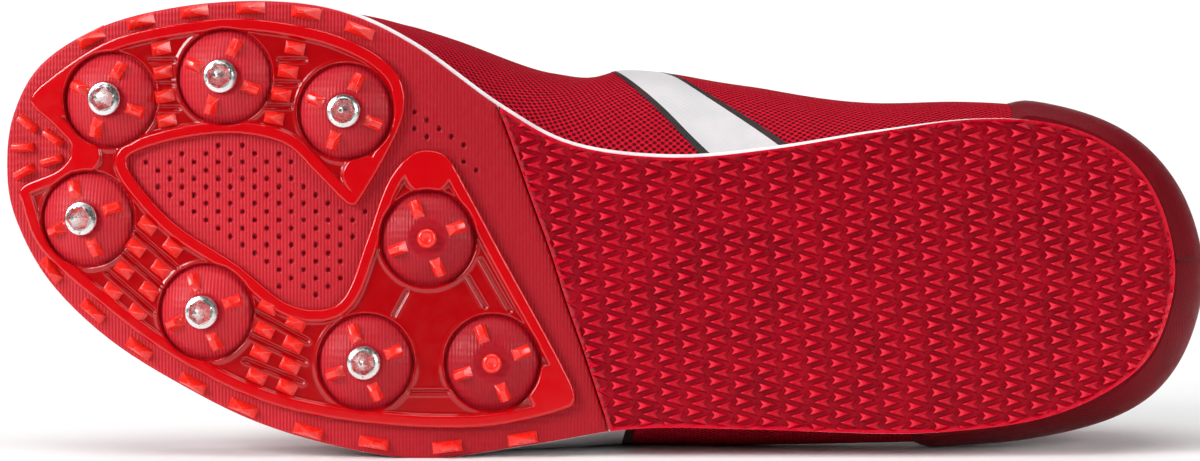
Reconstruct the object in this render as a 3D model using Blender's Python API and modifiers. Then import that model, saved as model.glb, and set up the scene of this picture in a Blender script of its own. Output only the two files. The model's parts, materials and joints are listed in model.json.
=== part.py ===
"""Track spike shoe for the right foot, lying on its outer side.

It is modelled standing on its heel and ball: X runs from the toe to the heel, +Y is the outer
side of the foot, +Z is up, and the heel's tread is at Z = 0. An empty lays it on its side.
"""

import math
from collections import namedtuple

import bmesh
import bpy
import numpy as np
from mathutils import Matrix, Vector

# Driving sizes, in metres
SOLE_LENGTH = 0.274
BALL_WIDTH = 0.1023
INSTEP_HEIGHT = 0.084
TOE_SPRING = 0.017
HEEL_STACK = 0.013

# Walls, gaps and thicknesses
CLEARANCE = 0.0003
UPPER_WALL = 0.0018
OVERLAY_WALL = 0.001
OUTSOLE_THICKNESS = 0.003
PLATE_RECESS = 0.0012
FRAME_PROUD = 0.0006
INSOLE_THICKNESS = 0.003
TONGUE_THICKNESS = 0.003
TONGUE_GAP = 0.0009
TONGUE_TIP_LENGTH = 0.026
UPPER_INSET = 0.0012
MIDSOLE_PROUD = 0.0006
INSOLE_MARGIN = 0.0008

# Spike pods, pins and the studs of the forefoot
POD_RADIUS = 0.0109
POD_HEIGHT = 0.0043
POD_SEAT_RADIUS = 0.0043
FLANGE_RADIUS = 0.0039
FLANGE_THICKNESS = 0.0013
PIN_RADIUS = 0.0027
PIN_TIP_RADIUS = 0.0007
PIN_LENGTH = 0.005
NUB_RADIUS = 0.0023
NUB_HEIGHT = 0.0017
FIN_REACH = 0.0071
FINS_PER_POD = 4
ROOT = 0.0005

# Eyelets and laces
EYELET_PAIRS = 6
EYELET_RADIUS = 0.002
LACE_RADIUS = 0.0014

# Fineness of the facets
EDGE_SAMPLES = 2
UPPER_ROWS = 8
EYESTAY_COLUMNS = 43
TONGUE_ROWS = 9
ARCH_POINTS = 7
LACE_POINTS = 6
POD_SIDES = 16
NUB_SIDES = 12
PIN_SIDES = 6

# The sole's edge, from the back of the heel along the outer side to the toe and home along
# the inner side: shares of SOLE_LENGTH and BALL_WIDTH
Edge = namedtuple("Edge", "along across")
SOLE_EDGE = (
    Edge(1.000, 0.062),
    Edge(0.994, 0.185),
    Edge(0.974, 0.290),
    Edge(0.934, 0.368),
    Edge(0.881, 0.420),
    Edge(0.812, 0.445),
    Edge(0.748, 0.450),
    Edge(0.634, 0.441),
    Edge(0.542, 0.441),
    Edge(0.460, 0.476),
    Edge(0.373, 0.508),
    Edge(0.307, 0.492),
    Edge(0.227, 0.434),
    Edge(0.158, 0.348),
    Edge(0.090, 0.237),
    Edge(0.037, 0.103),
    Edge(0.007, -0.043),
    Edge(0.000, -0.160),
    Edge(0.006, -0.281),
    Edge(0.031, -0.395),
    Edge(0.084, -0.479),
    Edge(0.152, -0.523),
    Edge(0.227, -0.535),
    Edge(0.292, -0.511),
    Edge(0.354, -0.434),
    Edge(0.428, -0.292),
    Edge(0.491, -0.204),
    Edge(0.576, -0.176),
    Edge(0.662, -0.196),
    Edge(0.748, -0.234),
    Edge(0.832, -0.263),
    Edge(0.902, -0.250),
    Edge(0.955, -0.187),
    Edge(0.986, -0.082),
)
TURNS = len(SOLE_EDGE)

# How far the midsole stands out from that edge, along the inner side, or back from it, beside the
# ball where the shoe lies on its sole's edge: rows of SOLE_EDGE and shares of MIDSOLE_PROUD
Ledge = namedtuple("Ledge", "turn out")
MIDSOLE_LEDGE = (
    Ledge(0, 0.0),
    Ledge(7, 0.0),
    Ledge(9, -0.5),
    Ledge(11, -0.5),
    Ledge(13, 0.0),
    Ledge(21, 0.0),
    Ledge(22.5, 0.8),
    Ledge(26, 1.0),
    Ledge(28, 0.9),
    Ledge(30, 0.0),
)

# The seam between the forefoot plate and the heel rubber, from the inner to the outer side
SEAM = (
    Edge(0.420, -0.340),
    Edge(0.441, -0.185),
    Edge(0.456, -0.071),
    Edge(0.471, 0.039),
    Edge(0.483, 0.142),
    Edge(0.500, 0.272),
    Edge(0.511, 0.363),
    Edge(0.528, 0.500),
)

# The sole from the side: height of its underside, and of the upper's lower edge above that,
# as shares of SOLE_LENGTH, TOE_SPRING and HEEL_STACK
Section = namedtuple("Section", "along rise stack")
SIDE_SECTIONS = (
    Section(-0.10, 1.30, 0.50),
    Section(0.00, 1.00, 0.50),
    Section(0.10, 0.62, 0.54),
    Section(0.20, 0.35, 0.54),
    Section(0.33, 0.20, 0.55),
    Section(0.45, 0.18, 0.62),
    Section(0.60, 0.09, 0.77),
    Section(0.75, 0.00, 0.92),
    Section(1.00, 0.00, 1.00),
    Section(1.10, 0.00, 1.00),
)

# The upper's ribs, each from the sole's edge to the top line, which is the collar and then the
# throat: row of SOLE_EDGE, the top's place, and how far the rib leaves each end out and up,
# as shares of SOLE_LENGTH, BALL_WIDTH and INSTEP_HEIGHT
Rib = namedtuple("Rib", "turn along across height foot_out foot_up top_out top_drop")
RIBS = (
    Rib(0, 0.985, 0.073, 0.869, 0.250, 0.202, 0.030, 0.310),
    Rib(2, 0.949, 0.244, 0.845, 0.255, 0.202, 0.030, 0.286),
    Rib(4, 0.880, 0.323, 0.780, 0.157, 0.202, 0.039, 0.238),
    Rib(6, 0.777, 0.327, 0.744, 0.133, 0.214, 0.059, 0.214),
    Rib(7, 0.661, 0.254, 0.893, 0.169, 0.262, 0.137, 0.190),
    Rib(8, 0.584, 0.171, 0.988, 0.162, 0.310, 0.250, 0.143),
    Rib(9, 0.504, 0.127, 0.905, 0.125, 0.310, 0.235, 0.095),
    Rib(10, 0.427, 0.088, 0.804, 0.042, 0.262, 0.254, 0.071),
    Rib(11, 0.376, 0.059, 0.738, 0.029, 0.250, 0.274, 0.060),
    Rib(12, 0.341, 0.024, 0.690, 0.029, 0.238, 0.313, 0.060),
    Rib(13, 0.321, -0.005, 0.667, 0.029, 0.238, 0.313, 0.048),
    Rib(14, 0.314, -0.020, 0.657, 0.029, 0.238, 0.352, 0.042),
    Rib(16, 0.310, -0.039, 0.655, 0.029, 0.238, 0.430, 0.036),
    Rib(17, 0.310, -0.049, 0.655, 0.034, 0.238, 0.450, 0.036),
    Rib(19, 0.312, -0.068, 0.656, 0.034, 0.238, 0.411, 0.036),
    Rib(21, 0.321, -0.093, 0.667, 0.029, 0.238, 0.352, 0.048),
    Rib(22, 0.339, -0.112, 0.690, 0.029, 0.238, 0.323, 0.060),
    Rib(23, 0.372, -0.132, 0.738, 0.070, 0.250, 0.293, 0.060),
    Rib(24, 0.420, -0.132, 0.798, 0.140, 0.286, 0.274, 0.071),
    Rib(25, 0.474, -0.112, 0.869, 0.240, 0.310, 0.293, 0.083),
    Rib(26, 0.529, -0.088, 0.940, 0.355, 0.333, 0.320, 0.107),
    Rib(27, 0.595, -0.059, 1.000, 0.380, 0.333, 0.320, 0.143),
    Rib(28, 0.664, -0.108, 0.917, 0.310, 0.310, 0.210, 0.190),
    Rib(29, 0.748, -0.161, 0.774, 0.192, 0.262, 0.098, 0.214),
    Rib(30, 0.832, -0.171, 0.756, 0.156, 0.214, 0.049, 0.214),
    Rib(31, 0.898, -0.147, 0.798, 0.156, 0.202, 0.039, 0.238),
    Rib(32, 0.949, -0.078, 0.845, 0.193, 0.202, 0.030, 0.286),
)

# The glossy claw on the forefoot, from the notch at the toe round the inner arm, the window,
# the rear lobe and the outer arm: shares of SOLE_LENGTH and BALL_WIDTH
CLAW_EDGE = (
    Edge(0.059, -0.199),
    Edge(0.045, -0.247),
    Edge(0.022, -0.311),
    Edge(0.043, -0.370),
    Edge(0.088, -0.443),
    Edge(0.136, -0.477),
    Edge(0.204, -0.495),
    Edge(0.272, -0.469),
    Edge(0.318, -0.420),
    Edge(0.343, -0.358),
    Edge(0.347, -0.285),
    Edge(0.336, -0.203),
    Edge(0.310, -0.082),
    Edge(0.302, -0.067),
    Edge(0.293, -0.082),
    Edge(0.271, -0.142),
    Edge(0.245, -0.206),
    Edge(0.204, -0.231),
    Edge(0.158, -0.221),
    Edge(0.118, -0.192),
    Edge(0.108, -0.163),
    Edge(0.122, -0.103),
    Edge(0.153, -0.020),
    Edge(0.204, 0.068),
    Edge(0.245, 0.153),
    Edge(0.278, 0.169),
    Edge(0.298, 0.132),
    Edge(0.315, 0.011),
    Edge(0.332, -0.116),
    Edge(0.350, -0.178),
    Edge(0.367, -0.193),
    Edge(0.384, -0.176),
    Edge(0.400, -0.105),
    Edge(0.434, 0.064),
    Edge(0.477, 0.274),
    Edge(0.492, 0.368),
    Edge(0.477, 0.402),
    Edge(0.408, 0.438),
    Edge(0.311, 0.427),
    Edge(0.227, 0.381),
    Edge(0.149, 0.281),
    Edge(0.078, 0.144),
    Edge(0.031, 0.032),
    Edge(0.015, -0.068),
    Edge(0.014, -0.112),
    Edge(0.047, -0.151),
)

# The spike pods: their centre, the turn of their fins in degrees as seen from below, and
# whether a steel pin or only a moulded nub stands on them
Pod = namedtuple("Pod", "along across fin_turn pinned")
PODS = (
    Pod(0.093, -0.311, -22, True),
    Pod(0.193, -0.361, -22, True),
    Pod(0.297, -0.281, -22, True),
    Pod(0.073, -0.037, 20, True),
    Pod(0.177, 0.176, 20, True),
    Pod(0.314, 0.290, 20, True),
    Pod(0.367, 0.008, 20, False),
    Pod(0.422, 0.291, 20, False),
)

# Wedges moulded on the forefoot: length, width and height, and the part of each at the top
Wedge = namedtuple("Wedge", "length width height top_length top_width")
FIN = Wedge(0.0046, 0.0026, 0.0036, 0.5, 0.4)
CLAW_STUD = Wedge(0.0052, 0.0034, 0.0022, 0.3, 0.15)
EDGE_STUD = Wedge(0.0070, 0.0025, 0.0026, 0.3, 0.2)
TOE_BAR = Wedge(0.0056, 0.0022, 0.0026, 0.6, 0.5)

# Rows of four small studs across the claw's arms, by their first and last stud, with the
# turn of the studs in degrees as seen from below
StudRow = namedtuple("StudRow", "along across last_along last_across stud_turn")
STUD_ROWS = (
    StudRow(0.138, -0.428, 0.143, -0.263, 10),
    StudRow(0.254, -0.426, 0.236, -0.267, -10),
    StudRow(0.126, -0.021, 0.095, 0.131, -38),
    StudRow(0.148, 0.030, 0.117, 0.180, -38),
    StudRow(0.231, 0.164, 0.221, 0.324, -26),
    StudRow(0.255, 0.201, 0.247, 0.348, -26),
)
STUDS_PER_ROW = 4

# Long studs along the sole's edge
EDGE_STUDS = (
    Edge(0.075, -0.454),
    Edge(0.119, -0.491),
    Edge(0.166, -0.512),
    Edge(0.215, -0.519),
    Edge(0.263, -0.507),
    Edge(0.309, -0.466),
    Edge(0.039, 0.079),
    Edge(0.076, 0.174),
    Edge(0.117, 0.260),
    Edge(0.164, 0.339),
    Edge(0.208, 0.394),
    Edge(0.264, 0.447),
    Edge(0.320, 0.474),
    Edge(0.383, 0.483),
    Edge(0.447, 0.464),
)

# Bars at the tip of the toe, with their turn in degrees as seen from below
ToeBar = namedtuple("ToeBar", "along across turn")
TOE_BARS = (
    ToeBar(0.018, -0.258, -36),
    ToeBar(0.014, -0.203, 0),
    ToeBar(0.015, -0.146, 27),
    ToeBar(0.041, -0.225, -35),
    ToeBar(0.040, -0.172, 14),
)

# The throat: rows of SOLE_EDGE that its two sides have at the front and at the top
Throat = namedtuple("Throat", "front top")
OUTER_SIDE = Throat(13.2, 7.4)
INNER_SIDE = Throat(20.6, 27.5)
EYELET_CLIMB = 0.945
EYELET_SHARES = (0.06, 0.94)
TONGUE_CLIMB = 0.84
TONGUE_TAPER = 0.75

# How round the tongue and the laces are where they arch over the throat
TONGUE_CROWN = 0.34
LACE_CROWN = 0.30
LACE_LIFT = 1.2

# The tongue's free tip, above the throat: shares of its length and of the tongue's width
TipRow = namedtuple("TipRow", "onward narrowed")
TONGUE_TIP = (
    TipRow(0.18, 0.80),
    TipRow(0.55, 0.74),
    TipRow(0.85, 0.60),
    TipRow(1.00, 0.38),
)

# The heel counter: rows of SOLE_EDGE where it ends on each side, and how high it climbs
COUNTER_INNER = TURNS - 3.5
COUNTER_OUTER = TURNS + 5.5
COUNTER_CLIMB = (0.03, 0.80)

# The eyestay's climb, at its lower and upper edge, and how far it runs past the throat's top
EYESTAY_CLIMB = (0.86, 0.985)
EYESTAY_ONWARD = 0.35

Finish = namedtuple("Finish", "colour roughness metallic")
FINISHES = {
    "mesh": Finish((0.62, 0.015, 0.035), 0.7, 0.0),
    "film": Finish((0.20, 0.004, 0.012), 0.35, 0.0),
    "lining": Finish((0.35, 0.01, 0.02), 0.85, 0.0),
    "foam": Finish((0.87, 0.85, 0.85), 0.6, 0.0),
    "rubber": Finish((0.60, 0.01, 0.04), 0.55, 0.0),
    "plate": Finish((0.72, 0.03, 0.05), 0.45, 0.0),
    "gloss": Finish((0.68, 0.0, 0.01), 0.12, 0.0),
    "steel": Finish((0.72, 0.72, 0.72), 0.25, 1.0),
    "lace": Finish((0.55, 0.01, 0.03), 0.8, 0.0),
}


def clear_scene():
    for obj in list(bpy.data.objects):
        bpy.data.objects.remove(obj)


def new_collection(name):
    collection = bpy.data.collections.new(name)
    bpy.context.scene.collection.children.link(collection)
    return collection


def new_material(name):
    finish = FINISHES[name]
    material = bpy.data.materials.new(name)
    material.use_nodes = True
    shader = material.node_tree.nodes["Principled BSDF"]
    shader.inputs["Base Color"].default_value = (*finish.colour, 1.0)
    shader.inputs["Roughness"].default_value = finish.roughness
    shader.inputs["Metallic"].default_value = finish.metallic
    return material


def add_part(name, mesh, finish):
    """A visible piece of the shoe, in the shoe's own collection."""
    part = bpy.data.objects.new(name, mesh)
    mesh.materials.append(bpy.data.materials[finish])
    shoe_parts.objects.link(part)
    return part


def add_helper(name, mesh, place=None):
    """A solid that only cuts or joins others, and is left out of the shoe."""
    helper = bpy.data.objects.new(name, mesh)
    helper.matrix_world = place or Matrix()
    helper.hide_render = True
    helper.display_type = "WIRE"
    cutters.objects.link(helper)
    return helper


def combine(part, helpers, operation, solver="EXACT"):
    for helper in helpers:
        modifier = part.modifiers.new(helper.name, "BOOLEAN")
        modifier.operation = operation
        modifier.solver = solver
        modifier.object = helper


def mesh_from(name, work):
    mesh = bpy.data.meshes.new(name)
    work.to_mesh(mesh)
    work.free()
    return mesh


def smooth_rows(rows, where, period=None):
    """The columns after the first, read at where on a smooth curve through the rows."""
    table = np.array(rows, float)
    keys, values = table[:, 0], table[:, 1:]
    if period:
        where = (where - keys[0]) % period + keys[0]
        keys = np.concatenate([keys[-2:] - period, keys, keys[:3] + period])
        values = np.concatenate([values[-2:], values, values[:3]])
    slopes = np.gradient(values, keys, axis=0)
    low = int(np.clip(np.searchsorted(keys, where, side="right") - 1, 0, len(keys) - 2))
    span = keys[low + 1] - keys[low]
    t = (where - keys[low]) / span
    ease = t * t * (3 - 2 * t)
    leave = t * (1 - t) ** 2
    arrive = t * t * (t - 1)
    ends = values[low] * (1 - ease) + values[low + 1] * ease
    return ends + span * (slopes[low] * leave + slopes[low + 1] * arrive)


def numbered(rows):
    return [(index, *row) for index, row in enumerate(rows)]


def side_height(x, column):
    """The rise or the stack of the sole at x, on straight runs between the sections."""
    alongs = [section.along * SOLE_LENGTH for section in SIDE_SECTIONS]
    return float(np.interp(x, alongs, [getattr(section, column) for section in SIDE_SECTIONS]))


def rise(x):
    return TOE_SPRING * side_height(x, "rise")


def feather(x):
    """The height of the edge where the upper meets the sole."""
    return rise(x) + HEEL_STACK * side_height(x, "stack")


def edge_point(turn):
    along, across = smooth_rows(numbered(SOLE_EDGE), turn, TURNS)
    return Vector((along * SOLE_LENGTH, across * BALL_WIDTH))


def edge_outward(turn):
    """The level direction that points out of the shoe at a row of the sole's edge."""
    step = 0.1
    tangent = edge_point(turn + step) - edge_point(turn - step)
    return Vector((tangent.y, -tangent.x)).normalized()


def ledge(turn):
    return MIDSOLE_PROUD * smooth_rows(MIDSOLE_LEDGE, turn, TURNS)[0]


def edge_loop(offset):
    """The sole's outline, moved outward by what offset gives at each row."""
    turns = [step / EDGE_SAMPLES for step in range(TURNS * EDGE_SAMPLES)]
    return [edge_point(turn) + edge_outward(turn) * offset(turn) for turn in turns]


def slab(name, outline, low, high):
    """A plate with a level outline, between two heights that follow the sole from the side."""
    curve = bpy.data.curves.new(name, "CURVE")
    curve.dimensions = "2D"
    curve.fill_mode = "BOTH"
    curve.extrude = 0.5
    spline = curve.splines.new("POLY")
    spline.points.add(len(outline) - 1)
    spline.use_cyclic_u = True
    for point, (x, y) in zip(spline.points, outline):
        point.co = (x, y, 0.0, 1.0)
    flat = bpy.data.objects.new(name, curve)
    bpy.context.scene.collection.objects.link(flat)
    graph = bpy.context.evaluated_depsgraph_get()
    mesh = bpy.data.meshes.new_from_object(flat.evaluated_get(graph))
    bpy.data.objects.remove(flat)
    work = bmesh.new()
    work.from_mesh(mesh)
    bmesh.ops.remove_doubles(work, verts=work.verts, dist=1e-6)
    bmesh.ops.dissolve_limit(
        work, angle_limit=math.radians(1), verts=work.verts, edges=work.edges
    )
    for section in SIDE_SECTIONS:
        bmesh.ops.bisect_plane(
            work,
            geom=work.verts[:] + work.edges[:] + work.faces[:],
            plane_co=(section.along * SOLE_LENGTH, 0.0, 0.0),
            plane_no=(1.0, 0.0, 0.0),
        )
    for vert in work.verts:
        vert.co.z = high(vert.co.x) if vert.co.z > 0 else low(vert.co.x)
    bmesh.ops.triangulate(work, faces=work.faces)
    bmesh.ops.recalc_face_normals(work, faces=work.faces)
    work.to_mesh(mesh)
    work.free()
    return mesh


def seat(along, across, height=0.0, turn=0.0):
    """The place of a part on the sole's underside, with its +Z pointing away from the foot."""
    reach = 0.3 * POD_RADIUS
    x = along * SOLE_LENGTH
    lean = math.atan2(rise(x + reach) - rise(x - reach), 2 * reach)
    place = Matrix.Translation((x, across * BALL_WIDTH, rise(x)))
    place @= Matrix.Rotation(-lean, 4, "Y") @ Matrix.Rotation(math.pi, 4, "X")
    return place @ Matrix.Translation((0.0, 0.0, height)) @ Matrix.Rotation(turn, 4, "Z")


def wedge_mesh(wedge):
    """A moulded wedge that stands on the level of its own origin, with a root below it."""
    work = bmesh.new()
    bmesh.ops.create_cube(work, size=1.0)
    for vert in work.verts:
        top = vert.co.z > 0
        vert.co.x *= wedge.length * (wedge.top_length if top else 1.0)
        vert.co.y *= wedge.width * (wedge.top_width if top else 1.0)
        vert.co.z = wedge.height if top else -ROOT
    return mesh_from("wedge", work)


def turned_mesh(name, profile, sides):
    """A closed turned solid, from a profile of (radius, height) that starts and ends at the axis."""
    work = bmesh.new()
    verts = [work.verts.new((radius, 0.0, height)) for radius, height in profile]
    edges = [work.edges.new(pair) for pair in zip(verts, verts[1:])]
    bmesh.ops.spin(
        work,
        geom=verts + edges,
        cent=(0.0, 0.0, 0.0),
        axis=(0.0, 0.0, 1.0),
        angle=math.tau,
        steps=sides,
        use_merge=True,
    )
    bmesh.ops.remove_doubles(work, verts=work.verts, dist=1e-6)
    bmesh.ops.recalc_face_normals(work, faces=work.faces)
    return mesh_from(name, work)


def pod_mesh():
    """A pod's dome, round up to the flat seat of its pin."""
    sphere = (POD_RADIUS**2 - POD_SEAT_RADIUS**2 + POD_HEIGHT**2) / (2 * POD_HEIGHT)
    ball = math.hypot(POD_RADIUS, sphere - POD_HEIGHT)
    centre = POD_HEIGHT - math.sqrt(ball**2 - POD_SEAT_RADIUS**2)
    rim = math.atan2(-centre, POD_RADIUS)
    top = math.atan2(POD_HEIGHT - centre, POD_SEAT_RADIUS)
    ball = math.hypot(POD_RADIUS, centre)
    steps = 4
    profile = [(0.0, -ROOT), (POD_RADIUS, -ROOT)]
    for step in range(steps + 1):
        angle = rim + (top - rim) * step / steps
        profile.append((ball * math.cos(angle), centre + ball * math.sin(angle)))
    profile.append((0.0, POD_HEIGHT))
    return turned_mesh("pod", profile, POD_SIDES)


def nub_mesh():
    """The round nub that stands on a pod without a pin."""
    shoulder = 0.45 * NUB_HEIGHT
    profile = [
        (0.0, -ROOT),
        (NUB_RADIUS, -ROOT),
        (NUB_RADIUS, shoulder),
        (0.8 * NUB_RADIUS, 0.85 * NUB_HEIGHT),
        (0.45 * NUB_RADIUS, NUB_HEIGHT),
        (0.0, NUB_HEIGHT),
    ]
    return turned_mesh("nub", profile, NUB_SIDES)


def loft(name, rows, closed):
    """A sheet through rows of points, with each row a ring where it is closed."""
    work = bmesh.new()
    grid = [[work.verts.new(point) for point in row] for row in rows]
    columns = len(grid[0])
    for lower, upper in zip(grid, grid[1:]):
        for column in range(columns if closed else columns - 1):
            beside = (column + 1) % columns
            work.faces.new((lower[column], lower[beside], upper[beside], upper[column]))
    return mesh_from(name, work)


def thicken(part, thickness, offset=-1.0):
    modifier = part.modifiers.new("wall", "SOLIDIFY")
    modifier.thickness = thickness
    modifier.offset = offset
    modifier.use_even_offset = True


def rib_point(turn, climb):
    """A point of the upper's outside, at climb from 0 on the sole's edge to 1 on the top line."""
    rib = Rib(turn, *smooth_rows(RIBS, turn, TURNS))
    outward = edge_outward(turn).to_3d()
    foot = edge_point(turn).to_3d() - outward * UPPER_INSET
    foot.z = feather(foot.x) + CLEARANCE
    top = Vector((rib.along * SOLE_LENGTH, rib.across * BALL_WIDTH, rib.height * INSTEP_HEIGHT))
    lower = foot + outward * (rib.foot_out * BALL_WIDTH)
    lower.z += rib.foot_up * INSTEP_HEIGHT
    upper = top + outward * (rib.top_out * BALL_WIDTH)
    upper.z -= rib.top_drop * INSTEP_HEIGHT
    rest = 1.0 - climb
    ends = foot * rest**3 + top * climb**3
    return ends + lower * (3 * rest**2 * climb) + upper * (3 * rest * climb**2)


def upper_point(turn, climb, lift=0.0):
    """A point at lift outside the upper's outer face, or inside it where lift is negative."""
    step = 0.05
    below = max(climb - step, 0.0)
    above = min(climb + step, 1.0)
    around = rib_point(turn + step, climb) - rib_point(turn - step, climb)
    up = rib_point(turn, above) - rib_point(turn, below)
    return rib_point(turn, climb) + around.cross(up).normalized() * lift


def upper_grid(turns, climbs, lift=0.0):
    return [[upper_point(turn, climb, lift) for turn in turns] for climb in climbs]


def spaced(first, last, count):
    return [first + (last - first) * index / (count - 1) for index in range(count)]


def throat_turn(side, share):
    """The row of the sole's edge whose rib ends at a share of the throat's length."""
    return side.front + (side.top - side.front) * share


def throat_arch(share, across, lift, crown):
    """A point of the arch over the throat, from its outer side at 0 to its inner side at 1."""
    ends = []
    handles = []
    for side in (OUTER_SIDE, INNER_SIDE):
        turn = throat_turn(side, share)
        end = upper_point(turn, EYELET_CLIMB, lift)
        lean = end - upper_point(turn, TONGUE_CLIMB, lift)
        ends.append(end)
        handles.append(lean.normalized())
    reach = (ends[1] - ends[0]).length * crown
    outer = ends[0] + handles[0] * reach
    inner = ends[1] + handles[1] * reach
    rest = 1.0 - across
    arch = ends[0] * rest**3 + ends[1] * across**3
    return arch + outer * (3 * rest**2 * across) + inner * (3 * rest * across**2)


def eyelet_turns():
    """The rows of the sole's edge at which eyelets lie, on each side from front to top."""
    shares = spaced(*EYELET_SHARES, EYELET_PAIRS)
    return [throat_turn(side, share) for side in (OUTER_SIDE, INNER_SIDE) for share in shares]


def make_eyelet_cutters():
    holes = []
    for index, turn in enumerate(eyelet_turns()):
        centre = upper_point(turn, EYELET_CLIMB)
        outward = (upper_point(turn, EYELET_CLIMB, UPPER_WALL) - centre).normalized()
        work = bmesh.new()
        bmesh.ops.create_cone(
            work,
            cap_ends=True,
            segments=8,
            radius1=EYELET_RADIUS,
            radius2=EYELET_RADIUS,
            depth=6 * (UPPER_WALL + OVERLAY_WALL),
        )
        place = Matrix.Translation(centre) @ outward.to_track_quat("Z", "Y").to_matrix().to_4x4()
        holes.append(add_helper(f"eyelet_hole_{index}", mesh_from("hole", work), place))
    return holes


def make_upper(holes):
    """The upper's one hollow wall, open at the collar, the throat and underneath."""
    turns = [step / EDGE_SAMPLES for step in range(TURNS * EDGE_SAMPLES)]
    climbs = spaced(0.0, 1.0, UPPER_ROWS + 1)
    part = add_part("upper", loft("upper", upper_grid(turns, climbs), True), "mesh")
    thicken(part, UPPER_WALL)
    combine(part, holes, "DIFFERENCE")
    return part


def make_heel_counter():
    columns = round((COUNTER_OUTER - COUNTER_INNER) * EDGE_SAMPLES) + 1
    turns = spaced(COUNTER_INNER, COUNTER_OUTER, columns)
    climbs = spaced(*COUNTER_CLIMB, UPPER_ROWS)
    sheet = loft("heel_counter", upper_grid(turns, climbs, CLEARANCE), False)
    thicken(add_part("heel_counter", sheet, "film"), OVERLAY_WALL, 1.0)


def make_eyestay(holes):
    """The reinforcement along the throat that the eyelets go through."""
    outer, inner = OUTER_SIDE.top - EYESTAY_ONWARD, INNER_SIDE.top + EYESTAY_ONWARD
    turns = spaced(outer, inner, EYESTAY_COLUMNS)
    climbs = spaced(*EYESTAY_CLIMB, 3)
    sheet = loft("eyestay", upper_grid(turns, climbs, CLEARANCE), False)
    part = add_part("eyestay", sheet, "film")
    thicken(part, OVERLAY_WALL, 1.0)
    combine(part, holes, "DIFFERENCE")


def tongue_row(share):
    """One section of the tongue, from its outer edge under the eyestay to its inner edge."""
    lift = -(UPPER_WALL + TONGUE_GAP)
    outer = throat_turn(OUTER_SIDE, share)
    inner = throat_turn(INNER_SIDE, share)
    edge = TONGUE_CLIMB + (EYELET_CLIMB - TONGUE_CLIMB) * TONGUE_TAPER * share
    climbs = spaced(edge, EYELET_CLIMB, 3)
    row = [upper_point(outer, climb, lift) for climb in climbs[:-1]]
    arch = spaced(0.0, 1.0, ARCH_POINTS)
    row += [throat_arch(share, across, lift, TONGUE_CROWN) for across in arch]
    return row + [upper_point(inner, climb, lift) for climb in reversed(climbs[:-1])]


def make_tongue():
    """The tongue under the throat, with its free tip above the collar."""
    rows = [tongue_row(share) for share in spaced(0.0, 1.0, TONGUE_ROWS)]
    top, halfway = rows[-1], rows[len(rows) // 2]
    middle = top[len(top) // 2]
    onward = (middle - halfway[len(halfway) // 2]).normalized()
    for tip in TONGUE_TIP:
        moved = middle + onward * (tip.onward * TONGUE_TIP_LENGTH)
        rows.append([moved + (point - middle) * tip.narrowed for point in top])
    part = add_part("tongue", loft("tongue", rows, False), "lining")
    thicken(part, TONGUE_THICKNESS)


def lace_bar(name, share, next_share, mirrored):
    """One bar of the lacing, from an eyelet over the tongue to the next one across."""
    lift = 2 * CLEARANCE + OVERLAY_WALL + LACE_LIFT * LACE_RADIUS
    curve = bpy.data.curves.new(name, "CURVE")
    curve.dimensions = "3D"
    curve.bevel_depth = LACE_RADIUS
    curve.bevel_resolution = 1
    curve.use_fill_caps = True
    spline = curve.splines.new("POLY")
    steps = spaced(0.0, 1.0, LACE_POINTS)
    spline.points.add(len(steps) - 1)
    for point, step in zip(spline.points, steps):
        across = 1.0 - step if mirrored else step
        place = throat_arch(share + (next_share - share) * step, across, lift, LACE_CROWN)
        point.co = (*place, 1.0)
    tube = bpy.data.objects.new(name, curve)
    bpy.context.scene.collection.objects.link(tube)
    graph = bpy.context.evaluated_depsgraph_get()
    mesh = bpy.data.meshes.new_from_object(tube.evaluated_get(graph))
    bpy.data.objects.remove(tube)
    work = bmesh.new()
    work.from_mesh(mesh)
    bmesh.ops.remove_doubles(work, verts=work.verts, dist=1e-6)
    bmesh.ops.recalc_face_normals(work, faces=work.faces)
    work.to_mesh(mesh)
    work.free()
    return mesh


def make_laces():
    """The crossed bars of the lacing, joined where they cross and at the eyelets."""
    shares = spaced(*EYELET_SHARES, EYELET_PAIRS)
    bars = [lace_bar("lace_first", shares[0] - 0.001, shares[0], False)]
    for index, (share, next_share) in enumerate(zip(shares, shares[1:])):
        for mirrored in (False, True):
            bars.append(lace_bar(f"lace_{index}_{int(mirrored)}", share, next_share, mirrored))
    part = add_part("laces", bars[0], "lace")
    combine(part, [add_helper(bar.name, bar) for bar in bars[1:]], "UNION")


def make_insole():
    """The insole on the midsole, inside the upper's wall."""
    inset = UPPER_INSET + UPPER_WALL + INSOLE_MARGIN
    outline = edge_loop(lambda turn: -inset)
    mesh = slab(
        "insole",
        outline,
        lambda x: feather(x) + CLEARANCE,
        lambda x: feather(x) + CLEARANCE + INSOLE_THICKNESS,
    )
    add_part("insole", mesh, "lining")


def make_midsole():
    mesh = slab(
        "midsole",
        edge_loop(ledge),
        lambda x: rise(x) + OUTSOLE_THICKNESS + CLEARANCE,
        feather,
    )
    add_part("midsole", mesh, "foam")


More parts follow.
